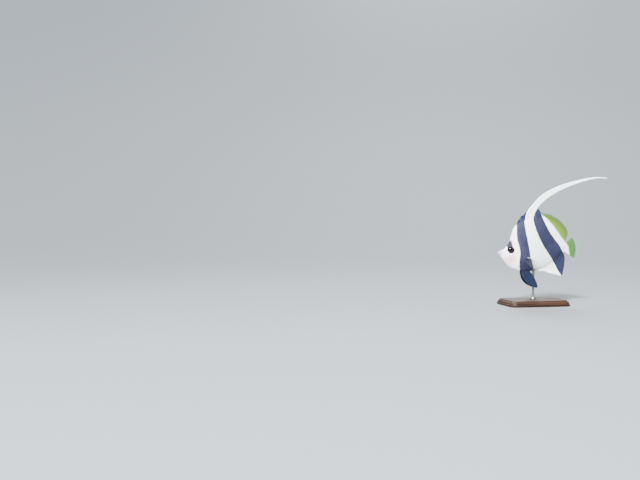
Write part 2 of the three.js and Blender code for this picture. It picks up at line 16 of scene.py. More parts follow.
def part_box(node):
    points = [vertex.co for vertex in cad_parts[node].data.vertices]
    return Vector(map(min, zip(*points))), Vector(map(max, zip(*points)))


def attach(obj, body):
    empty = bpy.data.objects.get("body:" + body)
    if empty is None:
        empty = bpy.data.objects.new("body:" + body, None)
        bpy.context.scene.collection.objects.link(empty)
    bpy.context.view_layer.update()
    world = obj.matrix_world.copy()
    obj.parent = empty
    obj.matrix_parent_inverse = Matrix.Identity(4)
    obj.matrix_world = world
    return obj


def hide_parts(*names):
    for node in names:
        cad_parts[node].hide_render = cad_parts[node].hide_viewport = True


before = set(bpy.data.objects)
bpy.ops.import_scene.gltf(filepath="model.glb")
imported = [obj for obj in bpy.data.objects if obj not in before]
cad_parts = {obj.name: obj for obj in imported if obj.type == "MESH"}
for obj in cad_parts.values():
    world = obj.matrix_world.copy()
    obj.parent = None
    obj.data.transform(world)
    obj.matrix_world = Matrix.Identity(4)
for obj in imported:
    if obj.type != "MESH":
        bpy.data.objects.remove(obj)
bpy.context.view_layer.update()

# %% [markdown]
# Fish are measured from the tip of the snout, so all fish sizes below are in millimetres in the fish's own
# frame: x back from the snout, z up from it, and y out to the right flank. One function turns such points
# into metres in the frame of the model, whose origin is under the middle of the stand's base.

# %% The fish's own frame
MM = 0.001
ROD_FROM_SNOUT = 80
SNOUT_HEIGHT = 108
SEED = 11


def to_frame(points):
    """Fish millimetres to metres in the frame of the model."""
    return (np.asarray(points, float) + [-ROD_FROM_SNOUT, 0, SNOUT_HEIGHT]) * MM


def smooth(low, high, value):
    """0 below low, 1 above high, and an even ramp between them."""
    t = np.clip((np.asarray(value, float) - low) / (high - low), 0, 1)
    return t * t * (3 - 2 * t)


def hump(value, width, height=1.0):
    """A rounded rise where value is near 0."""
    return height * np.exp(-((value / width) ** 2))


def mix(a, b, share):
    return a + (b - a) * share


def unit(vectors):
    return vectors / (np.linalg.norm(vectors, axis=-1, keepdims=True) + 1e-12)


def travelled(points):
    """How far along a line each of its points lies."""
    return np.concatenate([[0], np.cumsum(np.linalg.norm(np.diff(points, axis=0), axis=1))])


def curve_at(points, t):
    """A smooth curve through points, as t runs from 0 to their number less one."""
    points = np.asarray(points, float)
    last = len(points) - 1
    t = np.clip(np.asarray(t, float), 0, last)
    i = np.minimum(np.floor(t).astype(int), last - 1)
    f = (t - i)[..., None]
    before, start, end, after = (points[np.clip(i + k, 0, last)] for k in (-1, 0, 1, 2))
    slope_in, slope_out = (end - before) / 2, (after - start) / 2
    cubic = 2 * start - 2 * end + slope_in + slope_out
    square = -3 * start + 3 * end - 2 * slope_in - slope_out
    return ((cubic * f + square) * f + slope_in) * f + start


def by_points(points, share):
    """A place on the curve by its share of the points."""
    return curve_at(points, np.asarray(share, float) * (len(points) - 1))


def along_curve(points, share):
    """A place on the curve by its share of the length."""
    fine = np.linspace(0, len(points) - 1, 40 * len(points))
    far = travelled(curve_at(points, fine))
    return curve_at(points, np.interp(np.asarray(share, float) * far[-1], far, fine))


print("snout at", to_frame([0, 0, 0]).round(4))

# %% [markdown]
# The camera comes first. The photograph looks at the left flank from ahead and a little above, with the
# fish small at the right of the picture. A camera that is level and turned so that the middle of the body
# falls on its own pixel gives that framing without any lens shift.

# %% Camera
PICTURE = (640, 480)
SENSOR_WIDTH = 36
LENS = 40
VIEW_YAW = math.radians(27)        # towards the snout from square to the flank
VIEW_HEIGHT = math.radians(2)      # above the level
VIEW_DISTANCE = 1.5436
AIM = Vector((0, 0, 0.120))
AIM_PIXEL = (533.4, 247.3)


def add_object(name, data):
    made = bpy.data.objects.new(name, data)
    bpy.context.scene.collection.objects.link(made)
    return made


def direction(heading, pitch):
    """The way at a heading round z, tipped up by pitch."""
    level = math.cos(pitch)
    return Vector((level * math.cos(heading), level * math.sin(heading), math.sin(pitch)))


def camera_turn(ray, sight):
    """The level camera that sees the direction sight along ray, a direction in its own space."""
    pitch = math.asin(sight.z / math.hypot(ray.y, ray.z)) - math.atan2(ray.y, -ray.z)
    ahead = -ray.z * math.cos(pitch) - ray.y * math.sin(pitch)
    heading = math.atan2(sight.y, sight.x) + math.atan2(ray.x, ahead)
    forward = direction(heading, pitch)
    right = Vector((math.sin(heading), -math.cos(heading), 0))
    return Matrix((right, right.cross(forward), -forward)).transposed()


focal_pixels = LENS / SENSOR_WIDTH * PICTURE[0]
pixel_ray = Vector((AIM_PIXEL[0] - PICTURE[0] / 2, PICTURE[1] / 2 - AIM_PIXEL[1], -focal_pixels))
towards_camera = direction(-math.pi / 2 - VIEW_YAW, VIEW_HEIGHT)
camera_data = bpy.data.cameras.new("camera")
camera_data.lens = LENS
camera_data.sensor_width = SENSOR_WIDTH
camera = add_object("camera", camera_data)
camera.location = AIM + towards_camera * VIEW_DISTANCE
camera.rotation_euler = camera_turn(pixel_ray.normalized(), -towards_camera).to_euler()
bpy.context.scene.camera = camera
print("camera at", [round(c, 3) for c in camera.location])

# %% [markdown]
# Meshes are built from arrays of points. Rings of points that are joined one to the next and capped at both
# ends make the body, the eyes, the filament and the stand, and a sheet with two faces makes every fin.

# %% Mesh helpers
def add_mesh(name, points, faces=()):
    """A smooth shaded object from points in metres."""
    mesh = bpy.data.meshes.new(name)
    faces = [list(map(int, face)) for face in faces]
    mesh.from_pydata(np.asarray(points, float).tolist(), [], faces, shade_flat=False)
    return add_object(name, mesh)


def add_values(piece, **layers):
    """Named values or vectors at each point, for a material or a node tree to read."""
    for name, values in layers.items():
        values = np.asarray(values, np.float32)
        kind, field = ("FLOAT", "value") if values.ndim == 1 else ("FLOAT_VECTOR", "vector")
        piece.data.attributes.new(name, kind, "POINT").data.foreach_set(field, values.ravel())


def dress(piece, nodes=()):
    """The piece rides on the one body, and the CAD nodes that it stands for are hidden."""
    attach(piece, "root")
    if nodes:
        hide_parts(*nodes)
    print(piece.name, len(piece.data.loops) - 2 * len(piece.data.polygons), "triangles")


def grid_faces(rows, columns, closed=False):
    """Quads of a grid of rows by columns points, whose columns may close into a ring."""
    r, c = np.meshgrid(np.arange(rows - 1), np.arange(columns if closed else columns - 1), indexing="ij")
    a = r * columns + c
    b = r * columns + (c + 1) % columns
    return np.stack([a, b, b + columns, a + columns], -1).reshape(-1, 4)


def winding(points, quads):
    """1 if the quads enclose a positive volume, and -1 if they have to be turned round."""
    a, b, c, d = (points[quads[:, k]] for k in range(4))
    return 1 if np.einsum("ij,ij->", a, np.cross(b, c) + np.cross(c, d)) > 0 else -1


def loft(name, rings, slot, nodes, material, **layers):
    """A closed piece from rings of points in metres, each joined to the next and both ends capped."""
    rows, columns = rings.shape[:2]
    points = rings.reshape(-1, 3)
    quads = grid_faces(rows, columns, closed=True)
    caps = [np.arange(columns)[::-1], (rows - 1) * columns + np.arange(columns)]
    way = winding(points, quads)
    piece = add_mesh(name, points, [*quads[:, ::way], *(cap[::way] for cap in caps)])
    add_values(piece, **layers)
    piece.data.materials.append(material)
    dress(piece, nodes)
    return piece


def spun(profile, sides):
    """Rings round the z axis, one for each pair of a radius and a height."""
    turns = np.linspace(0, 2 * math.pi, sides, endpoint=False)
    radius, height = np.array(profile, float).T[..., None]
    return np.stack([radius * np.cos(turns), radius * np.sin(turns), height + 0 * turns], -1)


print("three rings of 64 points are joined by", len(grid_faces(3, 64, closed=True)), "quads")

# %% [markdown]
# Shader trees are long to wire by hand. This small writer adds a node, fills its sockets with values or with
# the outputs of earlier nodes, and gives back what it puts out, so that a material reads like a sum.

# %% A writer for nodes
MIX_SOCKETS = (0, 6, 7, 2)         # of a Mix node: its factor, its two colours and the colour it gives


class Writer:
    """Writes nodes into a tree, from the sockets given to it up to those of its result."""

    def __init__(self, tree, given, result):
        self.tree = tree
        self.given = given
        self.result = result

    def feed(self, socket, value):
        if isinstance(value, bpy.types.NodeSocket):
            self.tree.links.new(value, socket)
        else:
            socket.default_value = value

    def node(self, kind, feeds=None, **settings):
        """Adds a node and gives its outputs."""
        made = self.tree.nodes.new(kind)
        for name, value in settings.items():
            setattr(made, name, value)
        for socket, value in (feeds or {}).items():
            self.feed(made.inputs[socket], value)
        return made.outputs

    def group(self, tree, **feeds):
        return self.node("ShaderNodeGroup", feeds, node_tree=tree)

    def sum(self, operation, *terms):
        return self.node("ShaderNodeMath", dict(enumerate(terms)), operation=operation)[0]

    def ramp(self, value, low, high, start=0.0, end=1.0, kind="SMOOTHSTEP"):
        """A ramp from start to end, as value goes from low to high."""
        feeds = dict(enumerate((value, low, high, start, end)))
        return self.node("ShaderNodeMapRange", feeds, interpolation_type=kind)[0]

    def blend(self, share, below, above):
        factor, first, second, mixed = MIX_SOCKETS
        feeds = {factor: share, first: below, second: above}
        return self.node("ShaderNodeMix", feeds, data_type="RGBA")[mixed]

    def scaled(self, colour, by):
        return self.node("ShaderNodeVectorMath", {0: colour, "Scale": by}, operation="SCALE")[0]

    def noise(self, place, scale, detail=3.0):
        feeds = {"Vector": place, "Scale": scale, "Detail": detail, "Roughness": 0.55}
        return self.node("ShaderNodeTexNoise", feeds)["Fac"]

    def stretched(self, place, scale):
        return self.node("ShaderNodeMapping", {"Vector": place, "Scale": scale})[0]

    def carried(self, name):
        """A value that each point of the mesh carries."""
        return self.node("ShaderNodeAttribute", attribute_name=name)["Fac"]

    def curve(self, value, points):
        """A curve whose given points run from 0 to 1 both ways."""
        out = self.node("ShaderNodeFloatCurve", {"Value": value})[0]
        line = out.node.mapping.curves[0]
        while len(line.points) < len(points):
            line.points.new(0.5, 0.5)
        for spot, where in zip(line.points, points):
            spot.location = where
        out.node.mapping.update()
        return out

    def finish(self, bump=None, **feeds):
        """Feeds the result. A bump is a height, its strength and its depth in metres."""
        if bump:
            bump_feeds = zip(("Height", "Strength", "Distance"), bump)
            feeds["Normal"] = self.node("ShaderNodeBump", dict(bump_feeds))[0]
        for socket, value in feeds.items():
            self.feed(self.result[socket.replace("_", " ")], value)


def add_sockets(tree, inputs, outputs):
    """Names a tree's sockets and gives its writer. An input is a number, or the kind of its socket."""
    for name, value in inputs.items():
        kind = {float: "Float", int: "Int"}.get(type(value), value)
        socket = tree.interface.new_socket(name, in_out="INPUT", socket_type="NodeSocket" + kind)
        if kind != value:
            socket.default_value = value
    for name, kind in outputs.items():
        tree.interface.new_socket(name, in_out="OUTPUT", socket_type="NodeSocket" + kind)
    given = tree.nodes.new("NodeGroupInput").outputs
    return Writer(tree, given, tree.nodes.new("NodeGroupOutput").inputs)


def new_group(name, sizes, outputs):
    """A shader group that reads a place and named sizes. It puts out values, and what is named Color."""
    tree = bpy.data.node_groups.new(name, "ShaderNodeTree")
    kinds = {socket: "Color" if socket == "Color" else "Float" for socket in outputs}
    w = add_sockets(tree, {"Place": "Vector", **sizes}, kinds)
    return tree, w, w.given["Place"]


def new_material(name):
    """A material, the writer that ends in its shader, and the place of each point of the object."""
    material = bpy.data.materials.new(name)
    material.use_nodes = True
    nodes = material.node_tree.nodes
    given = nodes.new("ShaderNodeTexCoord").outputs
    return material, Writer(material.node_tree, given, nodes["Principled BSDF"].inputs), given["Object"]


print("the writer knows", [name for name in vars(Writer) if not name.startswith("_")])

# %% [markdown]
# The markings are what names this fish: two slanting dark bands on white, a dark bar through the eye, a pink
# cheek and a dusky snout tip, and yellow on the soft fins. Each edge of a band is a curve that gives how far
# back it lies at each height, so the same group paints the skin, the scales and the fins, and the bands run
# on from one to the next without a step.

# %% Markings shared by skin, scales and fins
EYE = {"x": 26.6, "z": 6.9, "radius": 6.2, "bulge": 2.0, "sunk": 0.35, "depth": 3.2}
MARK_LOW = -80                     # the heights that an edge's curve spans
MARK_HIGH = 100
MARK_LENGTH = 180                  # and how far back it can reach
FIRST_BAND_FRONT = [(-80, 52), (-37, 48.2), (-20.8, 43.6), (-7.5, 43.7), (5.7, 43.8), (16.2, 41.8),
                    (27.8, 39.2), (38.3, 38.8), (56.7, 41.4), (70, 45), (100, 48)]
FIRST_BAND_REAR = [(-80, 98), (-45, 86), (-32.1, 79.8), (-18.6, 72.5), (-7.5, 67.8), (5.6, 65.4),
                   (18.8, 62.8), (31.7, 60.5), (48.1, 58.4), (66.7, 58.8), (80, 62), (100, 68)]
SECOND_BAND_FRONT = [(-80, 165), (-47.2, 143.4), (-36.8, 135.1), (-22.6, 126.8), (-5.2, 112.3),
                     (8.9, 100.9), (27.4, 89.4), (37.8, 84.6), (51.4, 80.3), (65.2, 78.2), (80.2, 81.2),
                     (95.1, 89.6), (100, 93)]
SECOND_BAND_REAR = [(-80, 170), (-39.9, 152), (-10.9, 151.5), (-1.5, 149), (4, 143.5), (16.2, 135.4),
                    (31.1, 122.8), (45.9, 112.7), (58.3, 107.3), (73.3, 100.5), (86.2, 95), (100, 90)]
YELLOW_FRONT = [(-80, 160.5), (-4, 160.5), (4, 159), (12, 157.5), (19.5, 153), (26, 148), (33, 141),
                (42, 134.5), (52, 127), (61, 119.5), (68.5, 112.5), (75.5, 104), (79, 99), (84, 94),
                (100, 84)]
EYE_BAR = {"x": 26.4, "z": 7.0, "lean": 0.12, "wander": 0.8, "half": (6.3, 4.2), "foot": (-1.5, 2.5),
           "top": (30.0, 24.0)}
CHEEK_SPOT = {"x": 28.0, "z": -11.0, "wide": 14.0, "high": 11.0, "inner": 0.1, "outer": 1.0}
SNOUT_SPOT = {"x": 2.5, "z": 1.5, "wide": 12.5, "high": 9.0, "inner": 0.15, "outer": 1.0}

markings, w, place = new_group("markings", {"Softness": 1.4, "Wander": 1.2, "Fade": 6.5},
                               ["Bands", "Bar", "Cheek", "Snout", "Yellow", "Back", "Up"])
split = w.node("ShaderNodeSeparateXYZ", {"Vector": place})
back = w.sum("MULTIPLY_ADD", split["X"], 1 / MM, ROD_FROM_SNOUT)
up = w.sum("MULTIPLY_ADD", split["Z"], 1 / MM, -SNOUT_HEIGHT)
height_share = w.ramp(up, MARK_LOW, MARK_HIGH, kind="LINEAR")
ragged = w.sum("SUBTRACT", w.noise(place, 420.0, 2.0), 0.5)
slow = w.sum("SUBTRACT", w.noise(place, 90.0, 2.0), 0.5)
wander = w.sum("MULTIPLY", w.sum("ADD", ragged, slow), w.given["Wander"])
placed = w.sum("ADD", back, wander)


def behind_edge(edge, softness):
    """1 behind an edge of a marking and 0 ahead of it."""
    points = [((z - MARK_LOW) / (MARK_HIGH - MARK_LOW), x / MARK_LENGTH) for z, x in edge]
    line = w.sum("MULTIPLY", w.curve(height_share, points), MARK_LENGTH)
    past = w.sum("DIVIDE", w.sum("SUBTRACT", placed, line), w.given[softness])
    return w.ramp(past, -0.5, 0.5)


def band(front, rear):
    ahead_of_rear = w.sum("SUBTRACT", 1.0, behind_edge(rear, "Softness"))
    return w.sum("MULTIPLY", behind_edge(front, "Softness"), ahead_of_rear)


def spot(x, z, wide, high, inner, outer):
    """1 inside an oval round a place and 0 outside it, with inner and outer as shares of its radii."""
    across = w.sum("DIVIDE", w.sum("SUBTRACT", back, x), wide)
    rise = w.sum("DIVIDE", w.sum("SUBTRACT", up, z), high)
    reach = w.sum("SQRT", w.sum("MULTIPLY_ADD", across, across, w.sum("MULTIPLY", rise, rise)))
    return w.ramp(reach, inner, outer, 1.0, 0.0)


ahead_of_bar = w.sum("SUBTRACT", back, EYE_BAR["x"])
bar_lean = w.sum("MULTIPLY_ADD", w.sum("SUBTRACT", up, EYE_BAR["z"]), EYE_BAR["lean"], ahead_of_bar)
bar_across = w.sum("ABSOLUTE", w.sum("MULTIPLY_ADD", wander, EYE_BAR["wander"], bar_lean))
bar_height = w.sum("MULTIPLY", w.ramp(up, *EYE_BAR["foot"]), w.ramp(up, *EYE_BAR["top"]))
bar = w.sum("MULTIPLY", w.ramp(bar_across, *EYE_BAR["half"]), bar_height)
eye_ring = spot(EYE["x"], EYE["z"], EYE["radius"], EYE["radius"], 1.05, 1.19)
first_band = band(FIRST_BAND_FRONT, FIRST_BAND_REAR)
second_band = band(SECOND_BAND_FRONT, SECOND_BAND_REAR)
w.finish(
    Bands=w.sum("MAXIMUM", first_band, second_band),
    Bar=w.sum("MAXIMUM", bar, eye_ring),
    Cheek=spot(**CHEEK_SPOT),
    Snout=spot(**SNOUT_SPOT),
    Yellow=behind_edge(YELLOW_FRONT, "Fade"),
    Back=back,
    Up=up,
)
print("markings:", len(markings.nodes), "nodes")

# %% [markdown]
# The skin's colour is white laid over with those markings. Nothing on a real fish is one flat colour: the
# white is a little warmer on the belly and cooler on the back, the dark is a slate that lets some white
# through, and each scale differs slightly from the next. Shade is painted into the skin where its relief
# sinks. Skin and scales are dull where they are dark, so that the bands don't mirror the pale room.

# %% Colour of skin and scales
WHITE = (0.83, 0.86, 0.87, 1)
BELLY_WHITE = (0.86, 0.84, 0.78, 1)
FACE = (0.83, 0.74, 0.79, 1)
PINK = (0.60, 0.22, 0.32, 1)
SNOUT = (0.11, 0.20, 0.44, 1)
SLATE = (0.0085, 0.0105, 0.032, 1)
SLATE_PALE = (0.016, 0.019, 0.049, 1)
BAR = (0.011, 0.010, 0.018, 1)
# painted shade, laid into the skin where its relief sinks
HOLLOW_SHADE = (0.055, 0.035, 0.045, 1)
YELLOW = (0.095, 0.165, 0.016, 1)
YELLOW_LOW = (0.070, 0.145, 0.016, 1)
YELLOW_TURNS = (62.0, 30.0)        # heights between which the yellow turns to leaf green
BELLY_TURNS = (-14.0, -36.0)       # and the white to the belly's
FACE_REAR = 45.0
FACE_BLENDS = 14.0
GRAIN_SHADE = 0.16
TONE_SHADE = 0.07
DARK_DULLS = 0.34                  # added to the roughness where the skin is dark
SHEEN = 0.3
PORE_DEPTH = 0.0002

fish_colour, w, place = new_group("fish colour", {"Tone": 0.0}, ["Color", "Dark", "Grain"])
marks = w.group(markings, Place=place)
mottle = w.noise(place, 55.0, 4.0)
grain = w.noise(place, 900.0)
cheek = w.sum("MULTIPLY", marks["Cheek"], w.ramp(mottle, 0.25, 0.7, 0.5, 0.95))
yellow = w.blend(w.ramp(marks["Up"], *YELLOW_TURNS), YELLOW, YELLOW_LOW)
slate = w.blend(w.ramp(mottle, 0.35, 0.75), SLATE, SLATE_PALE)
colour = WHITE
for share, above in (
    (w.ramp(marks["Up"], *BELLY_TURNS), BELLY_WHITE),
    (w.ramp(marks["Back"], FACE_REAR, FACE_REAR - FACE_BLENDS), FACE),
    (cheek, PINK),
    (w.sum("MULTIPLY", marks["Snout"], 0.8), SNOUT),
    (marks["Bar"], BAR),
    (marks["Yellow"], yellow),
    (marks["Bands"], slate),
):
    colour = w.blend(share, colour, above)
bright = w.sum("MULTIPLY_ADD", w.sum("SUBTRACT", grain, 0.5), GRAIN_SHADE, 1.0)
bright = w.sum("MULTIPLY_ADD", w.given["Tone"], TONE_SHADE, bright)
w.finish(Color=w.scaled(colour, bright), Dark=w.sum("MAXIMUM", marks["Bands"], marks["Bar"]), Grain=grain)


def wet_finish(w, paint, colour, roughness, coat, coat_roughness, bump=None):
    """A wet look. roughness runs with the grain, and coat from white skin to dark."""
    rough = w.ramp(paint["Grain"], 0.3, 0.7, *roughness)
    w.finish(bump, Base_Color=colour, Specular_IOR_Level=SHEEN, Coat_Roughness=coat_roughness,
             Roughness=w.sum("MULTIPLY_ADD", paint["Dark"], DARK_DULLS, rough),
             Coat_Weight=w.ramp(paint["Dark"], 0.0, 1.0, *coat))


skin_material, w, place = new_material("fish_skin")
paint = w.group(fish_colour, Place=place)
# Painted shade: the skin darkens towards this colour where the relief sinks it, in the eye socket, the
# mouth's slit, the nostrils and the grooves
shadowed = w.blend(w.ramp(w.carried("hollow"), 0.08, 0.75, 0.0, 0.85), paint["Color"], HOLLOW_SHADE)
pores = w.noise(place, 1500.0, 2.0)
wet_finish(w, paint, shadowed, (0.34, 0.5), (0.14, 0.02), 0.3, bump=(pores, 0.25, PORE_DEPTH))

scale_material, w, place = new_material("fish_scales")
paint = w.group(fish_colour, Place=place, Tone=w.carried("tone"))
wet_finish(w, paint, paint["Color"], (0.28, 0.44), (0.14, 0.03), 0.25)
print("markings feed", skin_material.name, "and", scale_material.name)

# %% [markdown]
# The body is a loft. Each rib runs from a point on the belly line up to one on the back line, and the same
# rounded cross-section is laid over every rib. A deep, flat fish is described well by this: the outline
# comes from the two lines, the build from the half widths. The frame's solids use the same ribs, so the
# skin lies where they are, only with many more points where the face needs them.

# %% Ribs and the bare body
BACK = [(0.9, 1.9), (3.6, 4.4), (9.5, 6.4), (16.5, 9.8), (23.2, 18.0), (28.2, 28.5), (31.2, 39.5),
        (35.0, 50.0), (43.0, 60.0), (57.0, 67.8), (74.0, 71.0), (91.0, 68.0), (107.0, 60.0),
        (122.0, 49.0), (135.0, 36.8), (143.5, 26.6), (150.0, 21.6)]
BELLY = [(1.3, -1.7), (4.6, -4.8), (10.5, -11.2), (17.0, -19.2), (23.8, -26.6), (30.8, -31.6),
         (37.6, -34.6), (45.5, -37.3), (54.0, -39.6), (65.0, -39.0), (78.0, -36.0), (92.5, -33.4),
         (108.0, -28.0), (123.0, -20.0), (136.0, -10.0), (143.0, -2.0), (149.5, 0.6)]
# half width, and how far the widest place lies below the middle
BUILD = [(1.8, 0), (3.3, 0), (4.7, 0), (6.2, -0.02), (7.8, -0.05), (9.2, -0.08), (10.6, -0.12),
         (12.2, -0.14), (13.2, -0.14), (13.6, -0.12), (13.1, -0.10), (11.8, -0.08), (9.8, -0.06),
         (7.6, -0.04), (5.6, -0.02), (4.2, 0), (2.6, 0)]
LAST_RIB = len(BACK) - 1
ROUNDNESS = 1.35                   # power of the cosine that shapes a cross-section
HALVINGS = 40                      # of the search for a rib
LEAN_STEPS = 20                    # of the search for an angle


def body_point(u, angle):
    """A point of the bare body on rib u, with the angle from -90 degrees at the belly to 90 at the back."""
    top, low, build = curve_at(BACK, u), curve_at(BELLY, u), curve_at(BUILD, u)
    out = np.cos(angle)
    share = (np.sin(angle) + build[..., 1] * out * out + 1) / 2
    x = mix(low[..., 0], top[..., 0], share)
    z = mix(low[..., 1], top[..., 1], share)
    return np.stack([x, -np.sign(out) * build[..., 0] * np.abs(out) ** ROUNDNESS, z], -1)


def rib_through(x, z):
    """The rib and the angle at a place in the mid-plane."""
    x, z = np.broadcast_arrays(np.asarray(x, float), np.asarray(z, float))
    low, high = np.zeros(x.shape), np.full(x.shape, float(LAST_RIB))
    for _ in range(HALVINGS):
        u = (low + high) / 2
        top, bottom = curve_at(BACK, u), curve_at(BELLY, u)
        share = (z - bottom[..., 1]) / (top[..., 1] - bottom[..., 1])
        ahead = mix(bottom[..., 0], top[..., 0], share) < x
        low, high = np.where(ahead, u, low), np.where(ahead, high, u)
    lean = curve_at(BUILD, u)[..., 1]
    height = np.clip(2 * share - 1, -1, 1)
    sine = height
    for _ in range(LEAN_STEPS):
        sine = np.clip(height - lean * (1 - sine * sine), -1, 1)
    return u, np.arcsin(sine)


def flank_at(x, z):
    """Half width of the bare body at a place in the mid-plane."""
    return np.abs(body_point(*rib_through(x, z))[..., 1])


print("half width at the shoulder:", round(float(flank_at(62, -2)), 2), "mm")

# %% [markdown]
# The face is what people look at, so the skin is sculpted there by small formulas, each for one feature: the
# fleshy rim and the socket of the eye, lips with the line of the mouth between them, two nostrils on each
# side, the bone edge across the cheek, and the gill cover that stands out and ends in a free edge. Each
# gives how far the skin rises, in millimetres, at a place on the flank.

# %% Sculpted relief of the head
EYE_RIM = {"radius": 6.95, "wide": 0.62, "rise": 0.62}
EYE_FOLD = {"radius": 8.6, "wide": 0.8, "rise": 0.18}
BROW = {"radius": 9.6, "wide": 1.8, "rise": 0.35, "from": (-2, 5)}
SOCKET = (5.4, 6.7)                # radii where its wall starts and ends
LIP = {"tip": 0.95, "corner": 5.6, "droop": 1.1, "rise": 1.08, "close": 0.55, "hook": 1.3,
       "upper": 0.62, "lower": 0.66, "full": 0.55, "slit": 0.26, "fade": (4.6, 6.8),
       "fold": (7.2, -1.6), "fold_size": (0.8, 3.0, 0.22)}
NOSTRILS = [(15.6, 6.3, 0.6), (18.4, 8.3, 0.75)]  # x, z and radius
NOSTRIL = {"tall": 1.2, "rim_at": 1.25, "rim_wide": 0.4, "rim": 0.28, "hole_wide": 0.75, "hole": 0.9}
GILL = {"x": 50.5, "z": -2.0, "above": 15.5, "below": 9.0, "rise": 0.8, "reach": 11.0, "foot": (-34, -27),
        "top": (20, 13), "lip": (-0.1, 0.55), "slope": 4.0, "thin": 4.0,
        "trough_at": 0.95, "trough_wide": 0.6, "trough": 0.5}
CHEEK_LINE = [(37.5, 17), (39.3, 4), (38, -9), (33, -19), (24.5, -24.5)]
SNOUT_BONE_LINE = [(8.5, -3.2), (13, -5.2), (18, -5.6), (22.5, -3.2)]
JAW_LINE = [(7.5, -5.2), (14, -12.5), (22, -19.5), (31, -25), (41, -29)]
GROOVES = [(CHEEK_LINE, 0.62, 0.5), (SNOUT_BONE_LINE, 0.6, 0.2), (JAW_LINE, 0.7, 0.2)]  # width and depth
FIN_LOBE = {"x": 58, "z": -9.8, "wide": 5, "high": 4.6, "rise": 0.45, "edge": (1.5, 0.1)}
HEAD_REAR = 62
LINE_STEPS = 80


def distance_to(line, x, z):
    """Distance from places to a smooth line."""
    gap = np.full(np.shape(x), np.inf)
    for a, b in by_points(line, np.linspace(0, 1, LINE_STEPS)):
        gap = np.minimum(gap, np.hypot(x - a, z - b))
    return gap


def gill_edge(z):
    bend = np.where(z > GILL["z"], GILL["above"], GILL["below"])
    return GILL["x"] - ((z - GILL["z"]) / bend) ** 2


def gill_cover(x, z, bare):
    """The cover rises towards its free edge, and a shallow trough lies behind it."""
    past = x - gill_edge(z)
    swell = hump(np.maximum(-past, 0), GILL["reach"], GILL["rise"])
    free = smooth(*GILL["foot"], z) * smooth(*GILL["top"], z)
    behind = mix(np.exp(-np.maximum(past, 0) / GILL["slope"]), 1 - smooth(*GILL["lip"], past), free)
    trough = hump(past - GILL["trough_at"], GILL["trough_wide"], GILL["trough"]) * free
    return (swell * behind - trough) * np.minimum(1, bare / GILL["thin"])


def lips(x, z):
    share = np.clip((x - LIP["tip"]) / (LIP["corner"] - LIP["tip"]), 0, 1) ** (1 / LIP["hook"])
    turn = np.arccos(1 - share) / (math.pi / 2)
    rise = mix(LIP["rise"], LIP["close"], turn ** 4)
    mouth = z + LIP["droop"] * share
    roll = hump(mouth - rise, LIP["upper"], LIP["full"]) + hump(mouth + rise, LIP["lower"], LIP["full"])
    (fold_x, fold_z), (wide, high, depth) = LIP["fold"], LIP["fold_size"]
    fold = hump(x - fold_x, wide, depth) * hump(z - fold_z, high)
    return (roll - hump(mouth, LIP["slit"])) * (1 - smooth(*LIP["fade"], x)) - fold


def nostrils(x, z):
    rise = np.zeros(np.shape(x))
    for a, b, radius in NOSTRILS:
        reach = np.hypot(x - a, (z - b) / NOSTRIL["tall"])
        rim = hump(reach - radius * NOSTRIL["rim_at"], NOSTRIL["rim_wide"], NOSTRIL["rim"])
        rise += rim - hump(reach, radius * NOSTRIL["hole_wide"], NOSTRIL["hole"])
    return rise


def eye_rim(x, z):
    reach = np.hypot(x - EYE["x"], z - EYE["z"])
    rim, fold, brow = (hump(reach - ring["radius"], ring["wide"], ring["rise"]) for ring in
                       (EYE_RIM, EYE_FOLD, BROW))
    brow = brow * smooth(*BROW["from"], z - EYE["z"])
    return rim + fold + brow - EYE["depth"] * (1 - smooth(*SOCKET, reach))


def from_fin_lobe(x, z):
    """Distance from the fleshy root of the pectoral fin, in its own radii."""
    return np.hypot((x - FIN_LOBE["x"]) / FIN_LOBE["wide"], (z - FIN_LOBE["z"]) / FIN_LOBE["high"])


def relief(points):
    """How far the skin rises at points of the bare body."""
    x, z = points[..., 0], points[..., 2]
    rise = gill_cover(x, z, np.abs(points[..., 1])) + lips(x, z) + nostrils(x, z) + eye_rim(x, z)
    rise += FIN_LOBE["rise"] * smooth(*FIN_LOBE["edge"], from_fin_lobe(x, z))
    for line, width, depth in GROOVES:
        rise -= hump(distance_to(line, x, z), width, depth)
    return np.where(x > HEAD_REAR, 0, rise)


print("the gill cover ends", GILL["x"], "mm behind the snout")

# %% [markdown]
# The rings of the loft lie closest together round the eye, the mouth and the gill cover, where the relief
# is fine, and further apart on the trunk. The snout is closed by rings that shrink to the line of the
# mouth, and the tail by rings that shrink inside the root of the tail fin, so the skin is one closed
# surface.

# %% One skin over head, trunk and tail
RING_POINTS = 256
RINGS_EACH_RIB = [(0, 18), (3, 20), (4, 26), (6, 26), (7, 30), (9, 30), (10, 13), (16, 12)]
SNOUT_CAP = -0.55                  # how far an end bulges along x
TAIL_CAP = 1.2
SNOUT_CAP_RINGS = 16
TAIL_CAP_RINGS = 6
CLOSING = 0.995                    # how nearly a cap's last ring shrinks to its line
SPREAD = 0.55                      # how evenly the points of a ring are spread over its height
SNOUT_TIP = 0.05
RIB_STEPS = 800

places, rates = zip(*RINGS_EACH_RIB)
fine = np.linspace(0, LAST_RIB, RIB_STEPS)
rings_so_far = np.concatenate([[0], np.cumsum(np.interp(fine[1:], places, rates) * np.diff(fine))])
ring_u = np.interp(np.linspace(0, rings_so_far[-1], int(rings_so_far[-1])), rings_so_far, fine)
quarter = np.linspace(-1, 1, RING_POINTS // 2 + 1)
flank_angle = SPREAD * np.arcsin(quarter) + (1 - SPREAD) * quarter * math.pi / 2
ring_angle = np.concatenate([flank_angle[:-1], math.pi - flank_angle[::-1][:-1]])
body = body_point(ring_u[:, None], ring_angle[None, :])


def cap_rings(ring, bulge, count):
    """Rings that shrink from a ring to a short upright line."""
    shrink = np.cos(np.linspace(0, 1, count + 1)[1:] * math.pi / 2 * CLOSING)[:, None, None]
    middle = ring.mean(0)
    made = middle + (ring - middle) * shrink
    made[..., 0] += bulge * np.sqrt(1 - shrink[..., 0] ** 2)
    return made


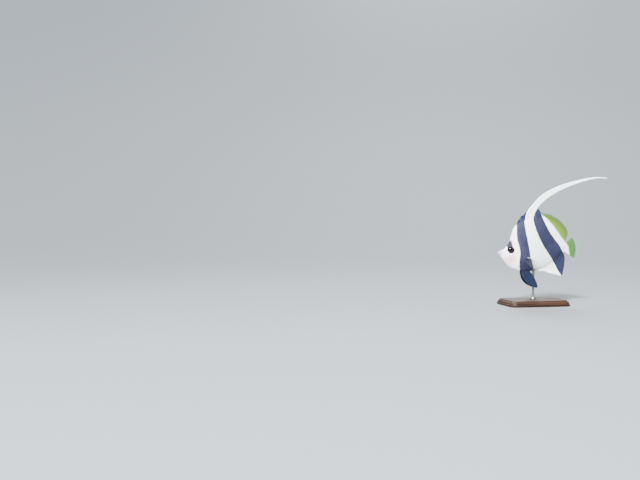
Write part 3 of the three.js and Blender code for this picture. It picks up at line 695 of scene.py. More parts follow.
snout_rings = cap_rings(body[0], SNOUT_CAP, SNOUT_CAP_RINGS)[::-1]
body = np.concatenate([snout_rings, body, cap_rings(body[-1], TAIL_CAP, TAIL_CAP_RINGS)])
round_ring = (np.roll(body, -1, axis=1) - np.roll(body, 1, axis=1)) / 2
outward = unit(np.cross(np.gradient(body, axis=0), round_ring))
outward *= np.sign((outward[..., 1] * body[..., 1]).sum())
rise = relief(body)
sculpted = body + outward * rise[..., None]
sculpted[..., 0] = np.maximum(sculpted[..., 0], SNOUT_TIP)
skin = loft("skin", to_frame(sculpted), "body_skin", ["head", "torso", "tail"], skin_material,
            hollow=np.clip(-rise, 0, 1).ravel())

# %% [markdown]
# A fish has no eyelids. The eye is a clear, wet dome that stands a little out of its socket and looks out
# and slightly forward. The dome is one turned surface, and its iris and pupil are painted by how far each
# point lies from the middle, a value that every point carries with it.

# %% Eyes
EYE_RINGS = 40
EYE_SIDES = 72
EYE_BACK = [(0.9, 0.4), (0.75, 1)]  # shares of the radius and of the depth, behind the dome
PUPIL = 0.55                        # share of the dome's radius
PUPIL_BLUR = 0.015
THIN_RING = (0.02, 0.04, 0.07)      # silver round the pupil: where it is full, begins to fade and ends
IRIS_EDGE = 0.93
EDGE_BLUR = 0.08
IRIS_BROWN = (0.013, 0.008, 0.0065, 1)
IRIS_SHADE = (0.006, 0.004, 0.005, 1)
IRIS_SILVER = (0.045, 0.040, 0.036, 1)
PUPIL_BLACK = (0.002, 0.002, 0.003, 1)
EYE_EDGE = (0.005, 0.004, 0.005, 1)

eye_material, w, place = new_material("eye_gloss")
reach = w.carried("reach")
full, fades, ends = (PUPIL + step for step in THIN_RING)
thin_ring = w.sum("MULTIPLY", w.ramp(reach, PUPIL, full), w.ramp(reach, ends, fades))
iris = w.blend(w.ramp(w.noise(place, 1600.0), 0.35, 0.7), IRIS_BROWN, IRIS_SHADE)
iris = w.blend(w.sum("MULTIPLY", thin_ring, 0.55), iris, IRIS_SILVER)
iris = w.blend(w.ramp(reach, PUPIL + PUPIL_BLUR, PUPIL - PUPIL_BLUR), iris, PUPIL_BLACK)
iris = w.blend(w.ramp(reach, IRIS_EDGE - EDGE_BLUR, IRIS_EDGE), iris, EYE_EDGE)
w.finish(Base_Color=iris, Roughness=0.08, Specular_IOR_Level=0.05, Coat_Weight=0.1, Coat_Roughness=0.03)


def make_eye(side, name, node):
    """A dome that faces outwards from the slope of the flank round it."""
    x, z, r = EYE["x"], EYE["z"], EYE["radius"]
    slope_x = float(flank_at(x + r, z) - flank_at(x - r, z)) / (2 * r)
    slope_z = float(flank_at(x, z + r) - flank_at(x, z - r)) / (2 * r)
    outward = Vector((-slope_x, side, -slope_z)).normalized()
    middle = Vector((x, side * float(flank_at(x, z)), z)) - outward * EYE["sunk"]
    turn = Vector((0, 0, 1)).rotation_difference(outward).to_matrix()
    angle = np.linspace(0, math.pi / 2, EYE_RINGS)[1:]
    profile = [*zip(r * np.sin(angle), EYE["bulge"] * np.cos(angle))]
    profile += [(r * wide, -EYE["depth"] * deep) for wide, deep in EYE_BACK]
    rings = spun(profile, EYE_SIDES) @ np.array(turn).T + np.array(middle)
    reach = np.repeat([*np.sin(angle), *np.ones(len(EYE_BACK))], EYE_SIDES)
    return loft(name, to_frame(rings), "eye", [node], eye_material, reach=reach)


make_eye(-1, "left_eye_dome", "eye_left")
make_eye(1, "right_eye_dome", "eye_right")

# %% [markdown]
# Every fin is a thin sheet between two faces. Stiff spines have one round ridge each, and the membrane dips
# behind every spine. Soft rays split in two and then again towards the margin, as they do in nature, and
# their ridge follows the highest of the branches. A fin is thick with flesh at its root and paper thin at
# its edge. Each point keeps its place along the root and along the ray, which the material reads.

# %% How a fin is made
SOFT_COLUMNS = 10                  # of the mesh to each soft ray
SPINE_COLUMNS = 12
FIN_ROWS = 46
FLESH = {"reach": 0.62, "power": 0.7}
MARGIN_HALF = 0.06
FRAY = 0.012                       # how far the margin dips between soft rays
SPLITS = ((0.38, 0.78, 0.20), (0.72, 0.97, 0.095))  # where a soft ray splits, from and to, and how wide
SPINE = {"wide": 0.17, "narrows": 0.45, "sinks": 0.25}
BRANCH = {"wide": 0.12, "narrows": 0.05, "sinks": 0.4}
ROW_POWER = 0.9                    # rows lie closer together towards the margin
DIP_POWER = {"stiff": 0.8, "soft": 2}
RIDGE_STARTS = (0, 0.25)
EDGE_THINS = {"from": 0.97, "by": 0.6}


def ray_ridge(phase, v, stiff):
    """Height, from 0 to 1, of the ridge of a ray at a phase from -0.5 to 0.5 across its cell."""
    spine = hump(phase, SPINE["wide"] * (1 - SPINE["narrows"] * v)) * (1 - SPINE["sinks"] * v)
    first, second = (wide * smooth(low, high, v) for low, high, wide in SPLITS)
    wide = BRANCH["wide"] - BRANCH["narrows"] * v
    branches = [hump(phase - a * first - b * second, wide) for a in (-1, 1) for b in (-1, 1)]
    return np.where(stiff, spine, np.max(branches, axis=0) * (1 - BRANCH["sinks"] * v))


def fin_cells(parts):
    """Columns of a fin. parts gives, for each kind of ray, their number, share of the root, and if stiff."""
    s, phase, spine = [], [], []
    start = 0.0
    for count, share, stiff in parts:
        columns = SPINE_COLUMNS if stiff else SOFT_COLUMNS
        cell = (np.arange(count * columns) + 0.5) / columns
        s += list(start + cell / count * share)
        phase += list(cell % 1 - 0.5)
        spine += [stiff] * len(cell)
        start += share
    return np.array([0, *s, 1]), np.array([-0.5, *phase, 0.5]), np.array([spine[0], *spine, spine[-1]])


def fin_sheet(name, spec, place, node_names, material, facing=(0, 1, 0)):
    """A fin with two faces. place(s, v) is its middle surface, and facing is square to it."""
    s, phase, stiff = fin_cells(spec["parts"])
    s, v = np.meshgrid(s, np.linspace(0, 1, FIN_ROWS) ** ROW_POWER)
    between = np.abs(2 * phase)
    notch = spec.get("cut", 0) * between ** DIP_POWER["stiff"]
    dip = np.where(stiff, notch, FRAY * between ** DIP_POWER["soft"])
    ridge = ray_ridge(phase, v, stiff)
    flesh = mix(spec["root"], MARGIN_HALF, np.minimum(1, v / FLESH["reach"]) ** FLESH["power"])
    half = flesh + spec["ridge"] * ridge * smooth(*RIDGE_STARTS, v)
    half *= 1 - EDGE_THINS["by"] * smooth(EDGE_THINS["from"], 1, v)
    middle = place(s, v * (1 - dip))
    side = np.array(facing) * half[..., None]
    points = to_frame(np.concatenate([middle + side, middle - side]).reshape(-1, 3))
    rows, count = s.shape
    far = rows * count
    face = grid_faces(rows, count)
    index = np.arange(far).reshape(rows, count)
    rim = [index[0], index[:, -1], index[-1, ::-1], index[::-1, 0]]
    edge = [(b, a, a + far, b + far) for line in rim for a, b in zip(line[:-1], line[1:])]
    quads = np.concatenate([face, face[:, ::-1] + far, edge])
    fin = add_mesh(name, points, quads[:, ::winding(points, quads)])
    layers = {"root_share": s, "reach": v, "ridge": ridge, "stiff": stiff + 0 * v}
    add_values(fin, **{layer: np.tile(values.ravel(), 2) for layer, values in layers.items()})
    fin.data.materials.append(material)
    dress(fin, node_names)
    return fin


print("a soft ray has", SOFT_COLUMNS, "columns and a spine", SPINE_COLUMNS)

# %% [markdown]
# Fin membrane lets light through where it is thin. The ray pattern is darker or paler along each ray,
# crossed by the fine joints of soft rays, and the membrane fades to clear at the margin. One group makes
# these masks for all the fins, and each fin's material gives it its own strengths.

# %% The fin pattern and the fin materials
FIN_WHITE = (0.84, 0.87, 0.88, 1)
FIN_DARK = (0.0014, 0.0042, 0.014, 1)
FIN_SHADE = (0.004, 0.008, 0.022, 1)
DARK_TURNS = (-36.0, -30.0)        # heights between which a dark fin turns to the slate of the band
YELLOW_DEEP = (0.070, 0.092, 0.007, 1)
YELLOW_GREEN = (0.034, 0.108, 0.015, 1)
CLEAR = (0.16, 0.34, 0.24, 1)
CLEAR_RAY = (0.085, 0.085, 0.060, 1)
CLEAR_SKIN = (0.055, 0.060, 0.055, 1)
CLEAR_YELLOW = (0.26, 0.28, 0.23, 1)
FIRST_RAYS = (0.17, 0.09)          # share of the root behind which the pectoral's pale first rays end
BASE_LIGHT = 0.87                  # lightness of a fin's colour, and what each mask adds to it
MEMBRANE_LIGHT = 0.08
RAY_LIGHT = 0.14
JOINT_LIGHT = -0.05
MARGIN_END = 0.995

fin_pattern, w, place = new_group("fin pattern", {"Joints": 46.0},
                                  ["Ray", "Joint", "Reach", "Membrane", "Height"])
reach = w.carried("reach")
step = w.sum("FRACT", w.sum("MULTIPLY", reach, w.given["Joints"]))
joint = w.ramp(w.sum("ABSOLUTE", w.sum("SUBTRACT", step, 0.5)), 0.18, 0.05)
soft = w.sum("MULTIPLY", w.ramp(reach, 0.25, 0.4), w.sum("SUBTRACT", 1.0, w.carried("stiff")))
ray = w.ramp(w.carried("ridge"), 0.15, 0.6)
joint = w.sum("MULTIPLY", w.sum("MULTIPLY", joint, soft), ray)
speckle = w.sum("MULTIPLY", w.noise(place, 700.0), 0.4)
w.finish(Ray=ray, Joint=joint, Reach=reach, Membrane=w.ramp(w.noise(place, 160.0, 4.0), 0.25, 0.75),
         Height=w.sum("SUBTRACT", speckle, joint))


def finish_fin(w, pattern, colour, ray_light=RAY_LIGHT, **sockets):
    """What every fin material shares. The rays are paler than what is between them."""
    shade = BASE_LIGHT
    for mask, light in (("Membrane", MEMBRANE_LIGHT), ("Ray", ray_light), ("Joint", JOINT_LIGHT)):
        shade = w.sum("MULTIPLY_ADD", pattern[mask], light, shade)
    w.finish((pattern["Height"], 0.3, 0.00012), Base_Color=w.scaled(colour, shade),
             Roughness=w.ramp(pattern["Membrane"], 0.0, 1.0, 0.32, 0.46), **sockets)


def margin_alpha(w, pattern, start, membrane, ray):
    """Clear towards the margin from start on, with the rays more solid than what is between them."""
    thin = w.sum("MULTIPLY_ADD", pattern["Ray"], ray - membrane, membrane)
    share = w.ramp(pattern["Reach"], start, MARGIN_END)
    return w.sum("MULTIPLY_ADD", share, w.sum("SUBTRACT", thin, 1.0), 1.0)


banded_fin, w, place = new_material("banded_fin")
pattern = w.group(fin_pattern, Place=place)
marks = w.group(markings, Place=place, Softness=2.0)
yellow = w.blend(w.ramp(marks["Up"], *YELLOW_TURNS), YELLOW, YELLOW_LOW)
yellow = w.blend(w.ramp(pattern["Reach"], 0.45, 0.80), yellow, YELLOW_DEEP)
yellow = w.blend(w.ramp(pattern["Reach"], 0.74, 0.97), yellow, YELLOW_GREEN)
colour = w.blend(marks["Yellow"], FIN_WHITE, yellow)
colour = w.blend(marks["Bands"], colour, w.blend(pattern["Membrane"], SLATE, SLATE_PALE))
solid = w.sum("MAXIMUM", margin_alpha(w, pattern, 0.80, 0.25, 0.7), marks["Bands"])
finish_fin(w, pattern, colour, Alpha=solid, Specular_IOR_Level=SHEEN, Coat_Weight=0.1, Coat_Roughness=0.35)

tail_material, w, place = new_material("tail_fin_yellow")
pattern = w.group(fin_pattern, Place=place, Joints=34.0)
marks = w.group(markings, Place=place, Softness=3.0)
yellow = w.blend(w.ramp(pattern["Reach"], 0.15, 0.62), YELLOW_LOW, YELLOW_GREEN)
yellow = w.blend(w.ramp(pattern["Reach"], 0.80, 1.0), yellow, CLEAR)
finish_fin(w, pattern, w.blend(marks["Yellow"], FIN_WHITE, yellow), Coat_Weight=0.15, Coat_Roughness=0.35,
           Alpha=margin_alpha(w, pattern, 0.70, 0.25, 0.66))

dark_fin, w, place = new_material("dark_fin")
pattern = w.group(fin_pattern, Place=place, Joints=30.0)
marks = w.group(markings, Place=place)
upper = w.blend(pattern["Membrane"], SLATE, SLATE_PALE)
lower = w.blend(pattern["Membrane"], FIN_DARK, FIN_SHADE)
finish_fin(w, pattern, w.blend(w.ramp(marks["Up"], *DARK_TURNS), lower, upper), ray_light=0.7,
           Specular_IOR_Level=SHEEN, Coat_Weight=0.04, Coat_Roughness=0.35)

clear_fin, w, place = new_material("clear_fin")
pattern = w.group(fin_pattern, Place=place, Joints=40.0)
reach = pattern["Reach"]
first_rays = w.ramp(w.carried("root_share"), *FIRST_RAYS)
tint = w.blend(pattern["Ray"], CLEAR_SKIN, CLEAR_RAY)
tint = w.blend(w.sum("MULTIPLY", first_rays, 0.8), tint, CLEAR_YELLOW)
near_body = w.sum("MULTIPLY", w.ramp(reach, 0.36, 0.22), w.sum("SUBTRACT", 1.0, first_rays))
tint = w.blend(near_body, tint, w.group(fish_colour, Place=place)["Color"])
rays = w.sum("MULTIPLY_ADD", pattern["Ray"], w.ramp(reach, 0.2, 0.9, 0.05, 0.22), 0.04)
strong = w.sum("MULTIPLY", first_rays, w.ramp(reach, 1.0, 0.45, 0.25, 0.95))
solid = w.sum("MAXIMUM", w.sum("MAXIMUM", w.ramp(reach, 0.22, 0.05), rays), strong)
finish_fin(w, pattern, tint, Alpha=solid, Coat_Weight=0.2, Coat_Roughness=0.3)
print("fin materials:", banded_fin.name, tail_material.name, dark_fin.name, clear_fin.name)

# %% [markdown]
# The fins in the mid-plane grow from a line sunk inside the back or the belly, so that no slit shows at the
# root. The soft dorsal fin has seven spines behind the filament and then two dozen branching rays, and the
# anal fin three spines and eighteen rays.

# %% Fins of the mid-plane
ROOT_SINK = 5
FRONT_SPINES = {"edge": "back", "from": 7.95, "to": 9.35, "root": 1.4, "ridge": 0.55, "cut": 0.24,
                "parts": [(3, 1.0, True)],
                "margin": [(41.3, 60), (46, 70.5), (52, 78), (60, 85), (66, 87)], "margin_by": by_points}
DORSAL = {"edge": "back", "from": 10.05, "to": 15.45, "root": 1.7, "ridge": 0.26, "cut": 0.1,
          "parts": [(7, 0.286, True), (25, 0.714, False)],
          "margin": [(84.5, 88), (90.9, 93.5), (96, 87.2), (103, 84.6), (116, 80.6), (130, 74.4),
                     (141, 66.8), (150.5, 56.6), (156.5, 46.2), (157, 36.5), (152.5, 28)]}
ANAL = {"edge": "belly", "from": 10.9, "to": 15.1, "root": 1.7, "ridge": 0.26, "cut": 0.1,
        "parts": [(3, 0.2, True), (18, 0.8, False)],
        "margin": [(92, -36), (103, -38.6), (116, -42.4), (129, -45.4), (143.6, -48.4), (147.6, -38),
                   (150.2, -24), (150.9, -11), (149.2, -3.4)]}
TAIL_FIN = {"foot": [(146, 16.6), (147, 11), (146, 5.4)], "root": 2.1, "ridge": 0.26,
            "parts": [(17, 1.0, False)],
            "margin": [(170, 34.5), (176.6, 23.5), (180.3, 9.5), (179.2, -3), (175, -13.5)]}


def root_line(spec, s):
    """The root of a fin: its own foot, or a line sunk inside the body under its back or its belly."""
    if "foot" in spec:
        return along_curve(spec["foot"], s)
    near, far = (BACK, BELLY) if spec["edge"] == "back" else (BELLY, BACK)
    u = mix(spec["from"], spec["to"], s)
    return curve_at(near, u) + unit(curve_at(far, u) - curve_at(near, u)) * ROOT_SINK


def margin_line(spec, s):
    return spec.get("margin_by", along_curve)(spec["margin"], s)


def midplane_fin(name, spec, node_names, material):
    """A fin that stands in the mid-plane, from its root line to its margin."""
    def place(s, v):
        spot = mix(root_line(spec, s), margin_line(spec, s), v[..., None])
        return np.stack([spot[..., 0], 0 * s, spot[..., 1]], -1)

    return fin_sheet(name, spec, place, node_names, material)


midplane_fin("dorsal_front", FRONT_SPINES, ["dorsal_fin_front"], dark_fin)
dorsal_fin = midplane_fin("dorsal_rear", DORSAL, ["dorsal_fin_spines", "dorsal_fin_rays"],
                          banded_fin)
anal_fin = midplane_fin("anal", ANAL, ["anal_fin"], banded_fin)
tail_fin = midplane_fin("caudal", TAIL_FIN, ["tail_fin"], tail_material)

# %% [markdown]
# The filament is the fourth spine of the back drawn out longer than the body, with a narrow flag of membrane
# behind it. It is one piece here, though it is carried as three solids. It sways a little to the side, as it
# does when the fish turns, and its front edge is round while its rear edge is thin.

# %% The long filament
PENNANT = {"line": [(69.5, 56), (71.6, 80), (84, 100), (104, 117), (130, 131.6), (159, 143.3), (190, 152.2),
                    (220, 157.75), (244.95, 157)],
           "tip": 1.4, "width": 19.7, "taper": 1.25, "root": 1.45, "half": 0.3, "thin_by": 0.67,
           "sway": 3.5, "turn": 5.5, "trim": 3.2, "trim_at": 0.20, "trim_reach": 0.10,
           "spine": 0.17, "flag": 0.34, "pleat": 0.05, "pleats": 9, "least": 0.10}
PENNANT_ROUND = {"power": 6, "least": 0.02}  # of its two edges
PENNANT_STRANDS = 24.0
PENNANT_ROWS = 260
PENNANT_COLUMNS = 34
PENNANT_WHITE = (0.85, 0.87, 0.88, 1)
PENNANT_SHADE = (0.80, 0.84, 0.87, 1)

pennant_material, w, place = new_material("filament_white")
across = w.sum("MULTIPLY", w.carried("root_share"), PENNANT_STRANDS)
strand = w.noise(w.node("ShaderNodeCombineXYZ", {0: across})[0], 1.0, 2.0)
cloud = w.noise(place, 120.0)
colour = w.blend(w.ramp(cloud, 0.3, 0.7), PENNANT_WHITE, PENNANT_SHADE)
w.finish((strand, 0.5, 0.0002), Base_Color=w.scaled(colour, w.sum("MULTIPLY_ADD", strand, 0.10, 0.95)),
         Roughness=w.ramp(cloud, 0.2, 0.8, 0.34, 0.48), Coat_Weight=0.15, Coat_Roughness=0.35)


def ahead_on(line, share, step):
    """The way that a line runs, over a short step at each side of its places."""
    return along_curve(line, np.minimum(share + step, 1)) - along_curve(line, share - step)


def pennant_point(t, across):
    centre = along_curve(PENNANT["line"], t)
    ahead = unit(ahead_on(PENNANT["line"], t, 1e-3))
    width = PENNANT["tip"] + PENNANT["width"] * (1 - t) ** PENNANT["taper"]
    trim = hump(t - PENNANT["trim_at"], PENNANT["trim_reach"], PENNANT["trim"])
    offset = (across - 0.5) * width + trim * (1 - across)
    sway = PENNANT["sway"] * t * np.sin(PENNANT["turn"] * t)
    x = centre[..., 0] + ahead[..., 1] * offset
    z = centre[..., 1] - ahead[..., 0] * offset
    return np.stack([x, sway, z], -1)


def pennant_half(t, across):
    """Thick along the spine near the front edge, and thin at the rear edge."""
    full = mix(PENNANT["root"], PENNANT["half"], np.minimum(1, t / PENNANT["thin_by"]))
    spine = hump(across - PENNANT["spine"], PENNANT["spine"])
    flag = PENNANT["flag"] + PENNANT["pleat"] * np.cos(across * 2 * math.pi * PENNANT["pleats"])
    square = np.clip(1 - np.abs(2 * across - 1) ** PENNANT_ROUND["power"], PENNANT_ROUND["least"], 1)
    return np.maximum(PENNANT["least"], full * np.maximum(spine, flag)) * np.sqrt(square)


t, across = np.meshgrid(np.linspace(0, 1, PENNANT_ROWS), np.linspace(0, 1, PENNANT_COLUMNS), indexing="ij")
middle = pennant_point(t, across)
half = pennant_half(t, across)[..., None] * np.array([0, 1.0, 0])
rings = np.concatenate([middle + half, (middle - half)[:, ::-1]], axis=1)
loft("filament", to_frame(rings), "pennant",
     ["dorsal_pennant_root", "dorsal_pennant_middle", "dorsal_pennant_tip"], pennant_material,
     root_share=np.concatenate([across, across[:, ::-1]], axis=1).ravel())

# %% [markdown]
# The pelvic fins are dark, long at the front and spread outward as they trail. The pectoral fins are clear
# fans just behind the gill cover that sweep back and down and stand off the flank. Both pairs are made from
# one function each, mirrored by the side.

# %% Paired fins
PELVIC = {"foot": [(51, -34), (58, -34.2), (67.5, -33.6)], "foot_height": -34,
          "margin": [(80.5, -70.6), (86, -72.4), (85.2, -63.4), (81.2, -53.2), (75.8, -44.4), (71.5, -37.8)],
          "root": 1.1, "ridge": 0.22, "cut": 0.05, "parts": [(1, 0.16, True), (5, 0.84, False)],
          "offset": 2.2, "splay": 0.17, "bow": (8.5, 1.5)}
PECTORAL = {"x": 54.5, "z": -8, "height": 8.5, "neck": 0.5, "neck_ends": 0.45, "length": 40,
            "fan": (0.08, -0.36), "sag": 0.12,
            "reach": [(0.8, 0), (0.98, 0), (1, 0), (0.88, 0), (0.7, 0), (0.5, 0)],
            "root": 1.3, "ridge": 0.16, "parts": [(16, 1.0, False)],
            "droop": 0.5, "flare": 0.36, "curl": 3, "sunk": 2.4}


def make_pelvic(side, name, node):
    def place(s, v):
        foot = along_curve(PELVIC["foot"], s)
        ray = along_curve(PELVIC["margin"], s) - foot
        bend = 4 * v * (1 - v) * mix(*PELVIC["bow"], s) / np.linalg.norm(ray, axis=-1)
        x = foot[..., 0] + ray[..., 0] * v + ray[..., 1] * bend
        z = foot[..., 1] + ray[..., 1] * v - ray[..., 0] * bend
        y = side * (PELVIC["offset"] + PELVIC["splay"] * (PELVIC["foot_height"] - z))
        return np.stack([x, y, z], -1)

    facing = (0, math.cos(PELVIC["splay"]), math.sin(PELVIC["splay"]) * side)
    return fin_sheet(name, PELVIC, place, [node], dark_fin, facing)


def make_pectoral(side, name, node):
    droop, flare = PECTORAL["droop"], PECTORAL["flare"]
    level = math.cos(flare)
    along = np.array([math.cos(droop) * level, side * math.sin(flare), -math.sin(droop) * level])
    across = np.array([math.sin(droop), 0, math.cos(droop)])
    x, z = PECTORAL["x"], PECTORAL["z"]
    base = np.array([x, side * (flank_at(x, z) - PECTORAL["sunk"]), z])

    def place(s, v):
        out = v * PECTORAL["length"] * by_points(PECTORAL["reach"], s)[..., 0]
        angle = mix(*PECTORAL["fan"], s) - PECTORAL["sag"] * v * (1 - s)
        narrow = mix(PECTORAL["neck"], 1, smooth(0, PECTORAL["neck_ends"], v))
        aside = (0.5 - s) * PECTORAL["height"] * narrow + out * np.sin(angle)
        spot = base + (out * np.cos(angle))[..., None] * along + aside[..., None] * across
        spot[..., 1] -= side * PECTORAL["curl"] * v * v
        return spot

    return fin_sheet(name, PECTORAL, place, [node], clear_fin, unit(np.cross(along, across)))


for side, name in ((-1, "left"), (1, "right")):
    make_pelvic(side, f"{name}_pelvic", f"pelvic_fin_{name}")
    make_pectoral(side, f"{name}_pectoral", f"pectoral_fin_{name}")

# %% [markdown]
# Scales cover the trunk in slanting rows, each plate lying over the roots of the next, and small ones cover
# the cheek and the gill cover. They could be a bump in the material, but real plates catch the light along
# their free edges and show in the outline. One plate of a few dozen faces is modelled, with its root at the
# origin, its free edge to the rear and its top outward.

# %% The shape of one scale
SCALE_OUTLINE = [(0.0, -0.30), (0.42, -0.50), (0.74, -0.45), (0.93, -0.24), (1.0, 0.0)]
SCALE_MIDDLE = (0.52, 0.0)
CROWN_SHARE = 0.62                 # of the outline, for the ring where the crown begins
PLATE_ARRIS = math.radians(50)


def plate_mesh(name, outline, crown=1.1):
    """A thin plate 1 long, 1 wide and 1 thick, crowned along its middle."""
    half = np.array(outline)
    rim = np.concatenate([half, half[:-1][::-1] * [1, -1]])
    count = len(rim)
    inner = mix(np.array(SCALE_MIDDLE), rim, CROWN_SHARE)
    raised = [(x, y, crown * (1 - 0.5 * abs(2 * y))) for x, y in inner]
    points = [*((x, y, 0.0) for x, y in rim), *raised, *((x, y, -1.0) for x, y in rim)]
    faces = [range(count, 2 * count)]
    for k in range(count):
        n = (k + 1) % count
        faces.append((k, n, count + n, count + k))
        if k != count - 1:
            faces.append((2 * count + k, 2 * count + n, n, k))
    faces.append(range(3 * count - 1, 2 * count - 1, -1))
    shape = add_mesh(name, points, faces)
    shape.data.set_sharp_from_angle(angle=PLATE_ARRIS)
    add_values(shape, local=points)
    return shape


scale_shape = plate_mesh("scale_shape", SCALE_OUTLINE)
print("one scale:", len(scale_shape.data.polygons), "faces")

# %% [markdown]
# Geometry Nodes set one plate on each of a cloud of points. A point carries which way is outward, which way
# the coat lies, and how large its scale is. The tree tilts every plate so that its free edge stands clear,
# varies the tilt a little from a fixed seed, and realizes the lot into one mesh.

# %% A node tree that lays scales
LIFT_RANGE = {2: 0.75, 3: 1.25}    # least and most of the usual tilt, by socket of Random Value
SCALE_COAT = bpy.data.node_groups.new("scale coat", "GeometryNodeTree")
w = add_sockets(
    SCALE_COAT,
    {"Points": "Geometry", "Plate": "Object", "Length": 1.5, "Width": 1.25, "Thickness": 0.1, "Lift": 0.08,
     "Seed": SEED, "Finish": "Material"},
    {"Coat": "Geometry"},
)


def point_value(name, kind):
    return w.node("GeometryNodeInputNamedAttribute", {"Name": name}, data_type=kind)["Attribute"]


size = point_value("size", "FLOAT")
axes = {"Primary Axis": point_value("outward", "FLOAT_VECTOR"),
        "Secondary Axis": point_value("lie", "FLOAT_VECTOR")}
facing = w.node("FunctionNodeAxesToRotation", axes, primary_axis="Z", secondary_axis="X")[0]
varied = w.node("FunctionNodeRandomValue", {**LIFT_RANGE, "Seed": w.given["Seed"]}, data_type="FLOAT")[1]
lift = w.sum("MULTIPLY", w.sum("MULTIPLY", w.given["Lift"], varied), -1.0)
tilt = w.node("FunctionNodeEulerToRotation", {0: w.node("ShaderNodeCombineXYZ", {"Y": lift})[0]})[0]
turned = w.node("FunctionNodeRotateRotation", {0: facing, 1: tilt}, rotation_space="LOCAL")[0]
plate_sides = zip("XYZ", ("Length", "Width", "Thickness"))
sides = {axis: w.sum("MULTIPLY", size, w.given[name]) for axis, name in plate_sides}
laid = w.node("GeometryNodeInstanceOnPoints", {
    "Points": w.given["Points"],
    "Instance": w.node("GeometryNodeObjectInfo", {"Object": w.given["Plate"]})["Geometry"],
    "Rotation": turned,
    "Scale": w.node("ShaderNodeCombineXYZ", sides)[0],
})[0]
whole = w.node("GeometryNodeRealizeInstances", {"Geometry": laid})[0]
w.finish(Coat=w.node("GeometryNodeSetMaterial", {"Geometry": whole, "Material": w.given["Finish"]})[0])
print("tree:", SCALE_COAT.name, len(SCALE_COAT.nodes), "nodes")

# %% [markdown]
# A piece of coat is a cloud of points with the tree on it, turned into a plain mesh. Each scale gets a small
# patch of a bake map, at its root's place on the unwrapped skin. The patch holds no more than the colour at
# that place, which is all that a scale shows.

# %% Laying a piece of coat
PATCH = 0.003                      # width of a scale's own patch of the bake map
PATCH_FILLED = 0.9
PATCH_SHIFT = 0.04                 # between a plate's top and its underside
MAP_EDGE = 0.001


def read_vectors(mesh, name):
    values = np.zeros(len(mesh.vertices) * 3, np.float32)
    mesh.attributes[name].data.foreach_get("vector", values)
    return values.reshape(-1, 3)


def give_bake_map(mesh):
    """Each scale is a small patch of the map, at its root's place on the unwrapped skin."""
    local = read_vectors(mesh, "local")
    flat = np.column_stack([local[:, 0] - 0.5, local[:, 1]]) * PATCH_FILLED + local[:, 2:] * PATCH_SHIFT
    uv = np.clip(read_vectors(mesh, "skin_place")[:, :2] + flat * PATCH, MAP_EDGE, 1 - MAP_EDGE)
    corners = np.zeros(len(mesh.loops), np.int32)
    mesh.loops.foreach_get("vertex_index", corners)
    mesh.uv_layers.new(name="OFBake").data.foreach_set("uv", uv[corners].astype(np.float32).ravel())


def lay_coat(name, roots, bed, tones, sizes, plate=scale_shape):
    """A piece of coat: one plate at each root, realized, with its bake map. bed is what the tree reads."""
    coat = add_mesh(name, roots)
    add_values(coat, tone=tones, **bed)
    layer = coat.modifiers.new("coat", "NODES")
    layer.node_group = SCALE_COAT
    inputs = {"Plate": plate, "Finish": scale_material, **sizes}
    for item in SCALE_COAT.interface.items_tree:
        if item.name in inputs:
            layer[item.identifier] = inputs[item.name]
    graph = bpy.context.evaluated_depsgraph_get()
    laid = bpy.data.meshes.new_from_object(coat.evaluated_get(graph), preserve_all_data_layers=True,
                                           depsgraph=graph)
    coat.modifiers.clear()
    coat.data = laid
    give_bake_map(laid)
    for layer_name in ("local", *bed):
        if layer_name in laid.attributes:
            laid.attributes.remove(laid.attributes[layer_name])
    print(len(roots), "scales")
    dress(coat)


print("each scale has a patch of", PATCH, "of the bake map")

# %% [markdown]
# Where the scales sit follows the fish. Columns of points stand one behind another along the trunk, and in
# each column they are counted up and down from the middle line by distance over the skin, so the rows stay
# even over the round of the back and belly and draw together towards the tail. Every second column is
# shifted by half a row, which gives the slanting pattern.

# %% Scales of trunk and head
MIDDLE_LINE = [(0, 0), (25, 0), (50, 3), (75, 5), (100, 8), (125, 11), (152, 11)]
TRUNK_SIZES = ([28, 45, 62, 100, 125, 140, 152], [1.45, 1.75, 2.25, 2.3, 1.95, 1.6, 1.3])
HEAD_SIZES = ([9, 20, 35, 50], [0.85, 1.05, 1.3, 1.4])
TRUNK_SPAN = (28, 152)
HEAD_SPAN = (9, 51)
TRUNK_FROM = 0.4                   # behind the edge of the gill cover
COLUMN_PITCH = 0.58                # of the row pitch
BODY_PLATE = {"Length": 1.45, "Width": 1.3, "Thickness": 0.045, "Lift": 0.075}
BEDDED = 0.05                      # how deep a root lies in the skin, of its size
SCULPT_SHARE = 0.5                 # how much a scale leans with the sculpted relief
SMALLEST = {"slit": 0.62, "lobe": 0.8, "snout": 0.5}  # of the usual size, beside these
FULL_SIZE = {"slit": (0, 5), "lobe": (0.9, 1.9), "snout": (0, 7)}  # from and to, for the size to grow
BARE_SNOUT = 11.5                  # no scales this near the tip
SNOUT_WEDGE = 0.35
MOUTH_HEIGHT = -1
BARE_EYE = 8.3
BARE_NOSE = (17.0, 7.3, 3.0)       # x, z and radius
BARE_FIN = (59.4, -9.8, 1.9, 3.4)  # x, z and both radii
BARE_SLIT = {"from": -0.9, "to": 0.6, "low": -34, "high": 18}
BARE_GROOVE = 0.75
CREST = 1.1                        # half width of the crest that a fin of the mid-plane covers
CREST_FROM = {"back": 41, "belly": 92}
NEARBY = 0.02                      # a small step over the bare body, in ribs or radians
skin_tree = BVHTree.FromObject(skin, bpy.context.evaluated_depsgraph_get())


COLUMN_OVERLAP = 0.5               # how far a column reaches past the back and the belly
COLUMN_STEPS = 260


